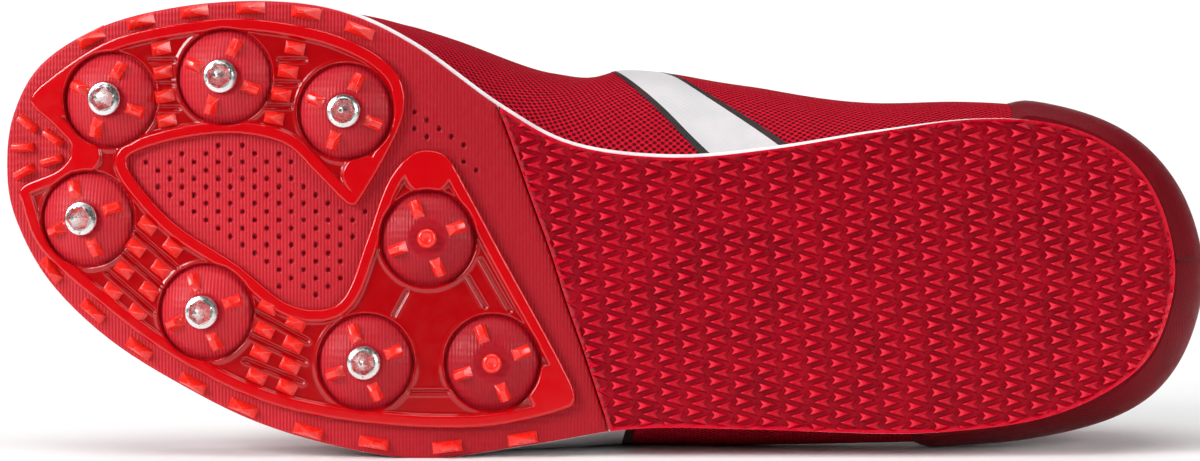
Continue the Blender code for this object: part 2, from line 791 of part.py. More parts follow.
def seam_cutter(name, side):
    """A solid over the sole on one side of the seam: 1 towards the heel, -1 towards the toe."""
    far = SOLE_LENGTH * (1.2 if side > 0 else -0.2)
    wide = 1.2 * BALL_WIDTH
    line = [(point.along * SOLE_LENGTH, point.across * BALL_WIDTH) for point in SEAM]
    line = [(x + side * CLEARANCE / 2, y) for x, y in line]
    line = [(line[0][0], -wide), *line, (line[-1][0], wide)]
    outline = [*line, (far, wide), (far, -wide)]
    work = bmesh.new()
    base = [work.verts.new((x, y, -3 * OUTSOLE_THICKNESS)) for x, y in outline]
    face = work.faces.new(base)
    raised = bmesh.ops.extrude_face_region(work, geom=[face])["geom"]
    for item in raised:
        if isinstance(item, bmesh.types.BMVert):
            item.co.z = 2 * TOE_SPRING + OUTSOLE_THICKNESS
    bmesh.ops.recalc_face_normals(work, faces=work.faces)
    return add_helper(name, mesh_from(name, work))


def make_heel_outsole():
    """The heel and waist rubber, with its tread left flat."""
    outline = edge_loop(lambda turn: 0.0)
    mesh = slab("heel_outsole", outline, rise, lambda x: rise(x) + OUTSOLE_THICKNESS)
    part = add_part("heel_outsole", mesh, "rubber")
    combine(part, [seam_cutter("heel_half", 1)], "INTERSECT")


def make_wedges(name, wedge, places):
    shape = wedge_mesh(wedge)
    return [add_helper(f"{name}_{index}", shape, place) for index, place in enumerate(places)]


def edge_tangent(point):
    """The turn, seen from below, of the sole's edge at the place that is nearest to a point."""
    here = Vector((point.along * SOLE_LENGTH, point.across * BALL_WIDTH))
    turns = [step / 4 for step in range(4 * TURNS)]
    nearest = min(turns, key=lambda turn: (edge_point(turn) - here).length)
    outward = edge_outward(nearest)
    return -math.atan2(outward.x, -outward.y)


def make_spike_plate():
    """The forefoot plate with its pods, fins, nubs, edge studs and toe bars."""
    outline = edge_loop(lambda turn: 0.0)
    mesh = slab(
        "spike_plate",
        outline,
        lambda x: rise(x) + PLATE_RECESS,
        lambda x: rise(x) + OUTSOLE_THICKNESS,
    )
    part = add_part("spike_plate", mesh, "plate")
    combine(part, [seam_cutter("forefoot_half", -1)], "INTERSECT")
    dome = pod_mesh()
    nub = nub_mesh()
    helpers = []
    fin_places = []
    for index, pod in enumerate(PODS):
        place = seat(pod.along, pod.across, -PLATE_RECESS)
        helpers.append(add_helper(f"pod_{index}", dome, place))
        if not pod.pinned:
            raised = place @ Matrix.Translation((0.0, 0.0, POD_HEIGHT))
            helpers.append(add_helper(f"nub_{index}", nub, raised))
        for fin in range(FINS_PER_POD):
            turn = math.radians(pod.fin_turn) + math.tau * fin / FINS_PER_POD
            around = Matrix.Rotation(turn, 4, "Z") @ Matrix.Translation((FIN_REACH, 0.0, 0.0))
            fin_places.append(place @ around)
    helpers += make_wedges("fin", FIN, fin_places)
    studs = [seat(*point, -PLATE_RECESS, edge_tangent(point)) for point in EDGE_STUDS]
    helpers += make_wedges("edge_stud", EDGE_STUD, studs)
    bars = [
        seat(bar.along, bar.across, -PLATE_RECESS, math.radians(bar.turn)) for bar in TOE_BARS
    ]
    helpers += make_wedges("toe_bar", TOE_BAR, bars)
    # The exact solver loses faces among so many small pieces
    combine(part, helpers, "UNION", "MANIFOLD")


def stud_row_places(row):
    places = []
    for share in spaced(0.0, 1.0, STUDS_PER_ROW):
        along = row.along + (row.last_along - row.along) * share
        across = row.across + (row.last_across - row.across) * share
        places.append(seat(along, across, FRAME_PROUD, math.radians(row.stud_turn)))
    return places


def make_traction_frame():
    """The glossy claw round the pods, with its rows of small studs."""
    rows = numbered(CLAW_EDGE)
    steps = [step / EDGE_SAMPLES for step in range(len(rows) * EDGE_SAMPLES)]
    shares = [smooth_rows(rows, step, len(rows)) for step in steps]
    outline = [(along * SOLE_LENGTH, across * BALL_WIDTH) for along, across in shares]
    mesh = slab(
        "traction_frame",
        outline,
        lambda x: rise(x) - FRAME_PROUD,
        lambda x: rise(x) + PLATE_RECESS - CLEARANCE,
    )
    part = add_part("traction_frame", mesh, "gloss")
    holes = []
    for index, pod in enumerate(PODS):
        work = bmesh.new()
        bmesh.ops.create_cone(
            work,
            cap_ends=True,
            segments=POD_SIDES,
            radius1=POD_RADIUS + 2 * CLEARANCE,
            radius2=POD_RADIUS + 2 * CLEARANCE,
            depth=4 * OUTSOLE_THICKNESS,
        )
        place = seat(pod.along, pod.across)
        holes.append(add_helper(f"pod_hole_{index}", mesh_from("pod_hole", work), place))
    combine(part, holes, "DIFFERENCE")
    places = [place for row in STUD_ROWS for place in stud_row_places(row)]
    combine(part, make_wedges("claw_stud", CLAW_STUD, places), "UNION")


def make_spikes():
    """The six steel pins, each with the round flange that seats on its pod."""
    foot = POD_HEIGHT + CLEARANCE
    for index, pod in enumerate([pod for pod in PODS if pod.pinned], 1):
        flange = bmesh.new()
        bmesh.ops.create_cone(
            flange,
            cap_ends=True,
            segments=POD_SIDES,
            radius1=FLANGE_RADIUS,
            radius2=FLANGE_RADIUS,
            depth=FLANGE_THICKNESS,
        )
        part = add_part(f"spike_{index}", mesh_from("flange", flange), "steel")
        place = seat(pod.along, pod.across, -PLATE_RECESS + foot + FLANGE_THICKNESS / 2)
        part.matrix_world = place
        pin = bmesh.new()
        bmesh.ops.create_cone(
            pin,
            cap_ends=True,
            segments=PIN_SIDES,
            radius1=PIN_RADIUS,
            radius2=PIN_TIP_RADIUS,
            depth=PIN_LENGTH + ROOT,
        )
        up = Matrix.Translation((0.0, 0.0, (FLANGE_THICKNESS + PIN_LENGTH - ROOT) / 2))
        combine(part, [add_helper(f"pin_{index}", mesh_from("pin", pin), place @ up)], "UNION")


def shade_round(part):
    part.data.shade_smooth()
    part.data.set_sharp_from_angle(angle=math.radians(35))


def evaluated_shape(graph, part):
    """The part's points, and the volume and the first moment of its solid."""
    evaluated = part.evaluated_get(graph)
    mesh = evaluated.to_mesh()
    mesh.calc_loop_triangles()
    points = np.array([evaluated.matrix_world @ vert.co for vert in mesh.vertices])
    corners = points[np.array([triangle.vertices[:] for triangle in mesh.loop_triangles])]
    evaluated.to_mesh_clear()
    volumes = np.linalg.det(corners) / 6
    return points, volumes.sum(), (corners.sum(axis=1) / 4 * volumes[:, None]).sum(axis=0)


def inside_triangle(point, corners, normal):
    """Whether a line through point along normal goes through the triangle."""
    sides = zip(corners, corners[1:] + corners[:1])
    return all((b - a).cross(point - a).dot(normal) >= 0 for a, b in sides)


def resting_side(points, centre):
    """The outward direction of the hull's outer side that the shoe rests on most levelly."""
    work = bmesh.new()
    for point in points:
        work.verts.new(point)
    hull = bmesh.ops.convex_hull(work, input=work.verts)
    faces = [item for item in hull["geom"] if isinstance(item, bmesh.types.BMFace)]
    found = []
    for face in faces:
        corners = [vert.co for vert in face.verts]
        normal = (corners[1] - corners[0]).cross(corners[2] - corners[0]).normalized()
        if normal.dot(corners[0] - centre) < 0:
            normal.negate()
            corners.reverse()
        if normal.y > 0 and inside_triangle(centre, corners, normal):
            found.append(normal.copy())
    work.free()
    return max(found, key=lambda normal: normal.y)


def lay_down(parts):
    """Lays the shoe, with the solids that cut it, on its outer side over the floor's middle."""
    graph = bpy.context.evaluated_depsgraph_get()
    shapes = [evaluated_shape(graph, part) for part in parts]
    points = np.concatenate([shape[0] for shape in shapes])
    volume = sum(shape[1] for shape in shapes)
    centre = Vector(sum(shape[2] for shape in shapes) / volume)
    down = resting_side(points, centre)
    up = -down
    lengthways = (Vector((1.0, 0.0, 0.0)) - up * up.x).normalized()
    turn = Matrix((lengthways, up.cross(lengthways), up))
    turned = points @ np.array(turn).T
    low, high = turned.min(axis=0), turned.max(axis=0)
    shift = Matrix.Translation((-(low[0] + high[0]) / 2, -(low[1] + high[1]) / 2, -low[2]))
    whole = bpy.data.objects.new("lying_shoe", None)
    shoe_parts.objects.link(whole)
    for part in [*parts, *cutters.objects]:
        part.parent = whole
    whole.matrix_world = shift @ turn.to_4x4()


clear_scene()
shoe_parts = new_collection("track_spike_shoe")
cutters = new_collection("cutters")
for finish_name in FINISHES:
    new_material(finish_name)
eyelet_holes = make_eyelet_cutters()
make_upper(eyelet_holes)
make_heel_counter()
make_eyestay(eyelet_holes)
make_tongue()
make_laces()
make_insole()
make_midsole()
make_heel_outsole()
make_spike_plate()
make_traction_frame()
make_spikes()
solid_parts = list(shoe_parts.objects)
for solid_part in solid_parts:
    shade_round(solid_part)
bpy.context.view_layer.update()
lay_down(solid_parts)
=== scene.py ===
"""Looks of a track spike shoe for the right foot, which lies on its outer side.

Every piece is worked out in the sizes of the shoe as it would stand: X runs from the toe to the
heel, +Y is the outer side of the foot and +Z is up, in metres. lying_place() lays it down.
"""

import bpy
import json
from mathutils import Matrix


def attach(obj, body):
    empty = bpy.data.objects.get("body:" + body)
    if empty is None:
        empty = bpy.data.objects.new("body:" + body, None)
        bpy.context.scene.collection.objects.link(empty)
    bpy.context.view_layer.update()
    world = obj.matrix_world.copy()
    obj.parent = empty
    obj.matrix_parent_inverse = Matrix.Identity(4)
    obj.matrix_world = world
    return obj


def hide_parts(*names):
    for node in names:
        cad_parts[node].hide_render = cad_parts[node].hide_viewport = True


bl_info = {
    "name": "Track spike shoe",
    "version": (1, 0, 0),
    "blender": (4, 5, 0),
    "location": "3D View > Sidebar > Spike shoe",
    "description": "Builds the surfaces of a sprint track spike shoe around its solids",
    "category": "Object",
}

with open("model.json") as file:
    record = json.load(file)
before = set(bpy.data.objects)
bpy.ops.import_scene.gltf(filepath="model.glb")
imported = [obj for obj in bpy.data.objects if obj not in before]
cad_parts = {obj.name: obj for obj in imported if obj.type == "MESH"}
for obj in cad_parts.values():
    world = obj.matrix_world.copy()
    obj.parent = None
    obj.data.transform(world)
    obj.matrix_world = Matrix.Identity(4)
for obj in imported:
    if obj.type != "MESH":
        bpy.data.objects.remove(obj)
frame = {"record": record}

import json
import math
from collections import namedtuple

import bmesh
import bpy
import numpy as np
from mathutils import Matrix, Vector

# Sizes of the solids, in metres
SOLE_LENGTH = 0.274
BALL_WIDTH = 0.1023
INSTEP_HEIGHT = 0.084
TOE_SPRING = 0.017
HEEL_STACK = 0.013
CLEARANCE = 0.0003
UPPER_WALL = 0.0018
OVERLAY_WALL = 0.001
OUTSOLE_THICKNESS = 0.003
PLATE_RECESS = 0.0012
FRAME_PROUD = 0.0006
INSOLE_THICKNESS = 0.003
TONGUE_THICKNESS = 0.003
TONGUE_GAP = 0.0009
TONGUE_TIP_LENGTH = 0.026
UPPER_INSET = 0.0012
MIDSOLE_PROUD = 0.0006
INSOLE_MARGIN = 0.0008
POD_RADIUS = 0.0109
POD_HEIGHT = 0.0043
POD_SEAT_RADIUS = 0.0043
FLANGE_RADIUS = 0.0039
FLANGE_THICKNESS = 0.0013
PIN_RADIUS = 0.0027
PIN_TIP_RADIUS = 0.0007
PIN_LENGTH = 0.005
NUB_RADIUS = 0.0023
NUB_HEIGHT = 0.0017
FIN_REACH = 0.0071
FINS_PER_POD = 4
EYELET_PAIRS = 6
EYELET_RADIUS = 0.002
RING_WIRE = 0.00035
LACE_RADIUS = 0.0014
MM = 0.001
MOAT_WIDTH = 0.0012

# The sole's edge, from the back of the heel along the outer side to the toe and home along
# the inner side: shares of SOLE_LENGTH and BALL_WIDTH
Edge = namedtuple("Edge", "along across")
SOLE_EDGE = (
    Edge(1.000, 0.062), Edge(0.994, 0.185), Edge(0.974, 0.290), Edge(0.934, 0.368), Edge(0.881, 0.420),
    Edge(0.812, 0.445), Edge(0.748, 0.450), Edge(0.634, 0.441), Edge(0.542, 0.441), Edge(0.460, 0.476),
    Edge(0.373, 0.508), Edge(0.307, 0.492), Edge(0.227, 0.434), Edge(0.158, 0.348), Edge(0.090, 0.237),
    Edge(0.037, 0.103), Edge(0.007, -0.043), Edge(0.000, -0.160), Edge(0.006, -0.281),
    Edge(0.031, -0.395), Edge(0.084, -0.479), Edge(0.152, -0.523), Edge(0.227, -0.535),
    Edge(0.292, -0.511), Edge(0.354, -0.434), Edge(0.428, -0.292), Edge(0.491, -0.204),
    Edge(0.576, -0.176), Edge(0.662, -0.196), Edge(0.748, -0.234), Edge(0.832, -0.263),
    Edge(0.902, -0.250), Edge(0.955, -0.187), Edge(0.986, -0.082),
)
TURNS = len(SOLE_EDGE)

# How far the midsole stands out from that edge: rows of SOLE_EDGE, shares of MIDSOLE_PROUD
Ledge = namedtuple("Ledge", "turn out")
MIDSOLE_LEDGE = (
    Ledge(0, 0.0), Ledge(7, 0.0), Ledge(9, -0.5), Ledge(11, -0.5), Ledge(13, 0.0), Ledge(21, 0.0),
    Ledge(22.5, 0.8), Ledge(26, 1.0), Ledge(28, 0.9), Ledge(30, 0.0),
)

# The seam between the forefoot plate and the heel rubber, from the inner to the outer side
SEAM = (
    Edge(0.420, -0.340), Edge(0.441, -0.185), Edge(0.456, -0.071), Edge(0.471, 0.039),
    Edge(0.483, 0.142), Edge(0.500, 0.272), Edge(0.511, 0.363), Edge(0.528, 0.500),
)

# The sole from the side: height of its underside, and of the upper's lower edge above that,
# as shares of SOLE_LENGTH, TOE_SPRING and HEEL_STACK
Section = namedtuple("Section", "along rise stack")
SIDE_SECTIONS = (
    Section(-0.10, 1.30, 0.50),
    Section(0.00, 1.00, 0.50),
    Section(0.10, 0.62, 0.54),
    Section(0.20, 0.35, 0.54),
    Section(0.33, 0.20, 0.55),
    Section(0.45, 0.18, 0.62),
    Section(0.60, 0.09, 0.77),
    Section(0.75, 0.00, 0.92),
    Section(1.00, 0.00, 1.00),
    Section(1.10, 0.00, 1.00),
)

# The upper's ribs, each from the sole's edge to the top line, which is the collar and then the
# throat: row of SOLE_EDGE, the top's place, and how far the rib leaves each end out and up,
# as shares of SOLE_LENGTH, BALL_WIDTH and INSTEP_HEIGHT
Rib = namedtuple("Rib", "turn along across height foot_out foot_up top_out top_drop")
RIBS = (
    Rib(0, 0.985, 0.073, 0.869, 0.250, 0.202, 0.030, 0.310),
    Rib(2, 0.949, 0.244, 0.845, 0.255, 0.202, 0.030, 0.286),
    Rib(4, 0.880, 0.323, 0.780, 0.157, 0.202, 0.039, 0.238),
    Rib(6, 0.777, 0.327, 0.744, 0.133, 0.214, 0.059, 0.214),
    Rib(7, 0.661, 0.254, 0.893, 0.169, 0.262, 0.137, 0.190),
    Rib(8, 0.584, 0.171, 0.988, 0.162, 0.310, 0.250, 0.143),
    Rib(9, 0.504, 0.127, 0.905, 0.125, 0.310, 0.235, 0.095),
    Rib(10, 0.427, 0.088, 0.804, 0.042, 0.262, 0.254, 0.071),
    Rib(11, 0.376, 0.059, 0.738, 0.029, 0.250, 0.274, 0.060),
    Rib(12, 0.341, 0.024, 0.690, 0.029, 0.238, 0.313, 0.060),
    Rib(13, 0.321, -0.005, 0.667, 0.029, 0.238, 0.313, 0.048),
    Rib(14, 0.314, -0.020, 0.657, 0.029, 0.238, 0.352, 0.042),
    Rib(16, 0.310, -0.039, 0.655, 0.029, 0.238, 0.430, 0.036),
    Rib(17, 0.310, -0.049, 0.655, 0.034, 0.238, 0.450, 0.036),
    Rib(19, 0.312, -0.068, 0.656, 0.034, 0.238, 0.411, 0.036),
    Rib(21, 0.321, -0.093, 0.667, 0.029, 0.238, 0.352, 0.048),
    Rib(22, 0.339, -0.112, 0.690, 0.029, 0.238, 0.323, 0.060),
    Rib(23, 0.372, -0.132, 0.738, 0.070, 0.250, 0.293, 0.060),
    Rib(24, 0.420, -0.132, 0.798, 0.140, 0.286, 0.274, 0.071),
    Rib(25, 0.474, -0.112, 0.869, 0.240, 0.310, 0.293, 0.083),
    Rib(26, 0.529, -0.088, 0.940, 0.355, 0.333, 0.320, 0.107),
    Rib(27, 0.595, -0.059, 1.000, 0.380, 0.333, 0.320, 0.143),
    Rib(28, 0.664, -0.108, 0.917, 0.310, 0.310, 0.210, 0.190),
    Rib(29, 0.748, -0.161, 0.774, 0.192, 0.262, 0.098, 0.214),
    Rib(30, 0.832, -0.171, 0.756, 0.156, 0.214, 0.049, 0.214),
    Rib(31, 0.898, -0.147, 0.798, 0.156, 0.202, 0.039, 0.238),
    Rib(32, 0.949, -0.078, 0.845, 0.193, 0.202, 0.030, 0.286),
)

# The glossy claw on the forefoot, from the notch at the toe round the inner arm, the window,
# the rear lobe and the outer arm
CLAW_EDGE = (
    Edge(0.059, -0.199), Edge(0.045, -0.247), Edge(0.022, -0.311), Edge(0.043, -0.370),
    Edge(0.088, -0.443), Edge(0.136, -0.477), Edge(0.204, -0.495), Edge(0.272, -0.469),
    Edge(0.318, -0.420), Edge(0.343, -0.358), Edge(0.347, -0.285), Edge(0.336, -0.203),
    Edge(0.310, -0.082), Edge(0.302, -0.067), Edge(0.293, -0.082), Edge(0.271, -0.142),
    Edge(0.245, -0.206), Edge(0.204, -0.231), Edge(0.158, -0.221), Edge(0.118, -0.192),
    Edge(0.108, -0.163), Edge(0.122, -0.103), Edge(0.153, -0.020), Edge(0.204, 0.068),
    Edge(0.245, 0.153), Edge(0.278, 0.169), Edge(0.298, 0.132), Edge(0.315, 0.011),
    Edge(0.332, -0.116), Edge(0.350, -0.178), Edge(0.367, -0.193), Edge(0.384, -0.176),
    Edge(0.400, -0.105), Edge(0.434, 0.064), Edge(0.477, 0.274), Edge(0.492, 0.368),
    Edge(0.477, 0.402), Edge(0.408, 0.438), Edge(0.311, 0.427), Edge(0.227, 0.381), Edge(0.149, 0.281),
    Edge(0.078, 0.144), Edge(0.031, 0.032), Edge(0.015, -0.068), Edge(0.014, -0.112),
    Edge(0.047, -0.151),
)

# The spike pods: their centre, the turn of their fins in degrees as seen from below, and
# whether a steel pin or only a moulded nub stands on them
Pod = namedtuple("Pod", "along across fin_turn pinned")
PODS = (
    Pod(0.093, -0.311, -22, True),
    Pod(0.193, -0.361, -22, True),
    Pod(0.297, -0.281, -22, True),
    Pod(0.073, -0.037, 20, True),
    Pod(0.177, 0.176, 20, True),
    Pod(0.314, 0.290, 20, True),
    Pod(0.367, 0.008, 20, False),
    Pod(0.422, 0.291, 20, False),
)

# Moulded wedges: their length, width and height, the part of each at the top, and how far the
# top stands back from the middle, as a share of the length
Wedge = namedtuple("Wedge", "length width height top_length top_width top_back")
FIN = Wedge(0.0056, 0.0034, 0.0020, 0.50, 0.40, -0.04)
CLAW_STUD = Wedge(0.0054, 0.0035, 0.0029, 0.16, 0.10, 0.14)
EDGE_STUD = Wedge(0.0078, 0.0031, 0.0032, 0.20, 0.18, 0.10)
TOE_BAR = Wedge(0.0058, 0.0024, 0.0027, 0.70, 0.45, 0.0)

# Rows of four small studs across the claw's arms, by their first and last stud, with the
# turn of the studs in degrees as seen from below
StudRow = namedtuple("StudRow", "along across last_along last_across stud_turn")
STUD_ROWS = (
    StudRow(0.138, -0.428, 0.143, -0.263, 10),
    StudRow(0.254, -0.426, 0.236, -0.267, -10),
    StudRow(0.126, -0.021, 0.095, 0.131, -38),
    StudRow(0.148, 0.030, 0.117, 0.180, -38),
    StudRow(0.231, 0.164, 0.221, 0.324, -26),
    StudRow(0.255, 0.201, 0.247, 0.348, -26),
)
STUDS_PER_ROW = 4

# Straight grooves in the claw's rear lobe, from end to end
Groove = namedtuple("Groove", "along across last_along last_across")
LOBE_GROOVES = (
    Groove(0.349, 0.130, 0.338, 0.184),
    Groove(0.401, 0.096, 0.416, 0.164),
    Groove(0.412, 0.056, 0.437, 0.173),
    Groove(0.352, 0.357, 0.384, 0.357),
)

EDGE_STUDS = (
    Edge(0.075, -0.454), Edge(0.119, -0.491), Edge(0.166, -0.512), Edge(0.215, -0.519),
    Edge(0.263, -0.507), Edge(0.309, -0.466), Edge(0.039, 0.079), Edge(0.076, 0.174),
    Edge(0.117, 0.260), Edge(0.164, 0.339), Edge(0.208, 0.394), Edge(0.264, 0.447), Edge(0.320, 0.474),
    Edge(0.383, 0.483), Edge(0.447, 0.464),
)

ToeBar = namedtuple("ToeBar", "along across turn")
TOE_BARS = (
    ToeBar(0.018, -0.258, -36),
    ToeBar(0.014, -0.203, 0),
    ToeBar(0.015, -0.146, 27),
    ToeBar(0.041, -0.225, -35),
    ToeBar(0.040, -0.172, 14),
)

# The throat: rows of SOLE_EDGE that its two sides have at the front and at the top
Throat = namedtuple("Throat", "front top")
OUTER_SIDE = Throat(13.2, 7.4)
INNER_SIDE = Throat(20.6, 27.5)

# Places on the upper as climbs, from 0 on the sole's edge to 1 on the top line
EYELET_CLIMB = 0.945
TONGUE_CLIMB = 0.84
EYESTAY_CLIMB = (0.86, 0.985)

# How much of the way from TONGUE_CLIMB to EYELET_CLIMB the tongue's edge climbs by the throat's
# top, and how far the handles of the tongue's and the laces' arches reach, as shares of their span
TONGUE_TAPER = 0.75
TONGUE_CROWN = 0.34
LACE_CROWN = 0.30

# Where the first and last eyelets lie along the throat, and how many rows of SOLE_EDGE the
# eyestay goes on past the throat's top
EYELET_SHARES = (0.06, 0.94)
EYESTAY_ONWARD = 0.35

# The tongue's free tip, above the throat: shares of its length and of the tongue's width
TipRow = namedtuple("TipRow", "onward narrowed")
TONGUE_TIP = (
    TipRow(0.00, 0.97), TipRow(0.18, 0.80), TipRow(0.55, 0.74), TipRow(0.85, 0.60), TipRow(1.00, 0.38),
)

# The heel counter: rows of SOLE_EDGE where it ends on each side, and how high it climbs
COUNTER_INNER = TURNS - 3.5
COUNTER_OUTER = TURNS + 5.5
COUNTER_CLIMB = (0.03, 0.80)

# Two plain bands on the upper's sides: rows of SOLE_EDGE at their foot and at their top, and the
# width of their dark borders in millimetres
Band = namedtuple("Band", "foot_front foot_back top_front top_back climb")
SIDE_BANDS = {
    "inner_band": Band(28.15, 27.45, 24.9, 24.0, (0.0, 0.87)),
    "outer_band": Band(10.25, 8.05, 9.65, 8.75, (0.0, 0.87)),
}
BAND_BORDER = 2.3

# A hole's rim takes in the points that lie within this many of its radii
HOLE_REACH = 2.2

# The cell of the knit's staggered holes, in metres
KNIT_CELL = (0.0019, 0.0016)

# The insole's rings from its underside to its middle, and the midsole's rounded side: how far
# inward or outward in millimetres, the share of the height, and the insole's cup in millimetres
INSOLE_RINGS = ((0.0, 0.0, 0.0), (0.0, 0.7, 0.0), (0.5, 1.0, 0.9), (3.0, 1.0, 0.3), (9.0, 1.0, 0.0))
MIDSOLE_PROFILE = (
    (-3.0, 0.0), (-0.3, 0.0), (0.0, 0.06), (0.25, 0.3), (0.25, 0.6), (0.0, 0.88), (-0.5, 1.0),
    (-3.5, 1.0),
)

# The dimpled nub on a pod without a pin: shares of NUB_RADIUS and NUB_HEIGHT
NUB_PROFILE = (
    (1.0, -0.3), (1.0, 0.45), (0.94, 0.72), (0.8, 0.92), (0.62, 1.0), (0.45, 0.96), (0.3, 0.82),
    (0.12, 0.78),
)

# The plate's perforations in millimetres: their lattice, and how far they keep from the sole's
# edge in the window and in the band by the seam, from the seam and from the claw
PIT_CELL = (5.76, 3.88)
PIT_ORIGIN = (34.0, -13.2)
WINDOW_END = 0.335
WINDOW_MARGIN = 18.0
BAND_MARGIN = 9.5
SEAM_MARGIN = 4.5
CLAW_MARGIN = 2.2

# Soft creases over the ball of the foot: where each crosses the middle, how much it slants, its
# half width and its depth in millimetres
Crease = namedtuple("Crease", "along slant half_width depth")
CREASES = (
    Crease(0.235, 0.10, 3.2, 0.45),
    Crease(0.272, 0.16, 3.8, 0.70),
    Crease(0.300, 0.22, 3.0, 0.50),
)

# The teeth of the heel's tread in millimetres: x, y and height above the groove's floor, first
# at the foot and then at the top, each as side, notch, side and tip
TREAD_DEPTH = 1.05
TREAD_COLUMN = (5.76, 0.72)
TREAD_ROW = (0.29, 3.94)
Tooth = namedtuple("Tooth", "foot top")
ARROW_TOOTH = Tooth(
    foot=((-0.35, -1.25), (0.40, 0.0), (-0.35, 1.25), (3.90, 0.0)),
    top=((0.05, -0.85, 1.05), (0.60, 0.0, 0.98), (0.05, 0.85, 1.05), (2.90, 0.0, 0.68)),
)
CHEVRON_TOOTH = Tooth(
    foot=((5.30, 0.30), (4.30, 1.97), (5.30, 3.64), (0.95, 1.97)),
    top=((4.70, 0.95, 0.28), (3.30, 1.97, 0.50), (4.70, 2.99, 0.28), (1.40, 1.97, 1.05)),
)
TREAD_START = (112.0, -4.0)
TREAD_COLUMNS = (-2, 32)
TREAD_ROWS = (-24, 18)

# Parts of the claw that are solid up to its rim: their middle and their radius in millimetres
Solid = namedtuple("Solid", "along across radius")
CLAW_SOLIDS = (
    Solid(0.046, -0.322, 5.5),
    Solid(0.068, -0.182, 4.5),
    Solid(0.312, -0.135, 4.8),
    Solid(0.367, -0.145, 5.5),
    Solid(0.474, 0.352, 6.0),
)

# The photo's frame in pixels, and where the sole's two ends and the foot's middle line lie in it
PHOTO_WIDTH = 1200
PHOTO_HEIGHT = 461
TOE_PIXEL = 6.0
HEEL_PIXEL = 1175.0
MIDDLE_PIXEL = 235.0
CAMERA_DISTANCE = 0.8
SENSOR_WIDTH = 36.0

# The studio: its softboxes with their power in watts, its floor with the backdrop's bend in
# metres, and where the floor darkens towards the viewer
Softbox = namedtuple("Softbox", "name position size power target")
SHOE_MIDDLE = (0.0, 0.0, 0.05)
SOFTBOXES = (
    Softbox("key_light", (-1.0, -0.62, 0.62), (0.55, 0.55), 15.0, SHOE_MIDDLE),
    Softbox("fill_light", (1.0, -0.7, 0.45), (0.6, 0.6), 8.0, SHOE_MIDDLE),
    Softbox("top_light", (0.0, -0.15, 1.1), (1.2, 0.7), 7.0, SHOE_MIDDLE),
    Softbox("backdrop_light", (0.0, 0.9, 1.6), (2.4, 0.6), 30.0, (0.0, 2.0, 0.6)),
)
AIR_STRENGTH = 0.06
FLOOR_FRONT = -2.5
FLOOR_BACK = 1.2
FLOOR_HALF_WIDTH = 3.5
BACKDROP_BEND = 0.8
BACKDROP_TOP = 0.9
DARK_FLOOR = (-0.55, -0.22)

shoe_mount = frame["record"]["mounts"][0]
HEEL_MARK = Edge(0.87, 0.08)


def lying_place():
    """The place that lays the standing shoe on its side, read from the mount on its heel."""
    up = -Vector(shoe_mount["axis"])
    along = Vector((-up.z, 0.0, up.x)).normalized()
    turn = Matrix((along, up.cross(along), up)).transposed()
    mark = Vector((HEEL_MARK.along * SOLE_LENGTH, HEEL_MARK.across * BALL_WIDTH, 0.0))
    return Matrix.Translation(Vector(shoe_mount["pos_m"]) - turn @ mark) @ turn.to_4x4()


def smooth_rows(rows, where, period=None):
    """The columns after the first, read at each of where on a smooth curve through the rows."""
    table = np.array(rows, float)
    where = np.atleast_1d(np.asarray(where, float))
    keys, values = table[:, 0], table[:, 1:]
    if period:
        where = (where - keys[0]) % period + keys[0]
        keys = np.concatenate([keys[-2:] - period, keys, keys[:3] + period])
        values = np.concatenate([values[-2:], values, values[:3]])
    slopes = np.gradient(values, keys, axis=0)
    low = np.clip(np.searchsorted(keys, where, side="right") - 1, 0, len(keys) - 2)
    span = (keys[low + 1] - keys[low])[:, None]
    t = (where - keys[low])[:, None] / span
    ease = t * t * (3 - 2 * t)
    ends = values[low] * (1 - ease) + values[low + 1] * ease
    return ends + span * (slopes[low] * t * (1 - t) ** 2 + slopes[low + 1] * t * t * (t - 1))


def numbered(rows):
    return [(index, *row) for index, row in enumerate(rows)]


def spaced(first, last, count):
    return [first + (last - first) * index / (count - 1) for index in range(count)]


def rise(x):
    """The height of the sole's underside."""
    return TOE_SPRING * smooth_rows(SIDE_SECTIONS, np.asarray(x) / SOLE_LENGTH)[:, 0]


def feather(x):
    """The height of the edge where the upper meets the sole."""
    stack = smooth_rows(SIDE_SECTIONS, np.asarray(x) / SOLE_LENGTH)[:, 1]
    return rise(x) + HEEL_STACK * stack


def edge_points(turns):
    return smooth_rows(numbered(SOLE_EDGE), turns, TURNS) * (SOLE_LENGTH, BALL_WIDTH)


def edge_outward(turns):
    """The level directions that point out of the shoe at rows of the sole's edge."""
    step = 0.1
    turns = np.atleast_1d(np.asarray(turns, float))
    tangent = edge_points(turns + step) - edge_points(turns - step)
    outward = np.stack([tangent[:, 1], -tangent[:, 0]], axis=1)
    return outward / np.linalg.norm(outward, axis=1)[:, None]


def edge_loop(offset, samples=8):
    """The sole's outline, moved outward by offset."""
    turns = np.arange(TURNS * samples) / samples
    return edge_points(turns) + edge_outward(turns) * np.reshape(offset, (-1, 1))


def claw_loop(samples=6):
    """The claw's outline."""
    steps = np.arange(len(CLAW_EDGE) * samples) / samples
    return smooth_rows(numbered(CLAW_EDGE), steps, len(CLAW_EDGE)) * (SOLE_LENGTH, BALL_WIDTH)


def level_point(place):
    return np.array((place.along * SOLE_LENGTH, place.across * BALL_WIDTH))


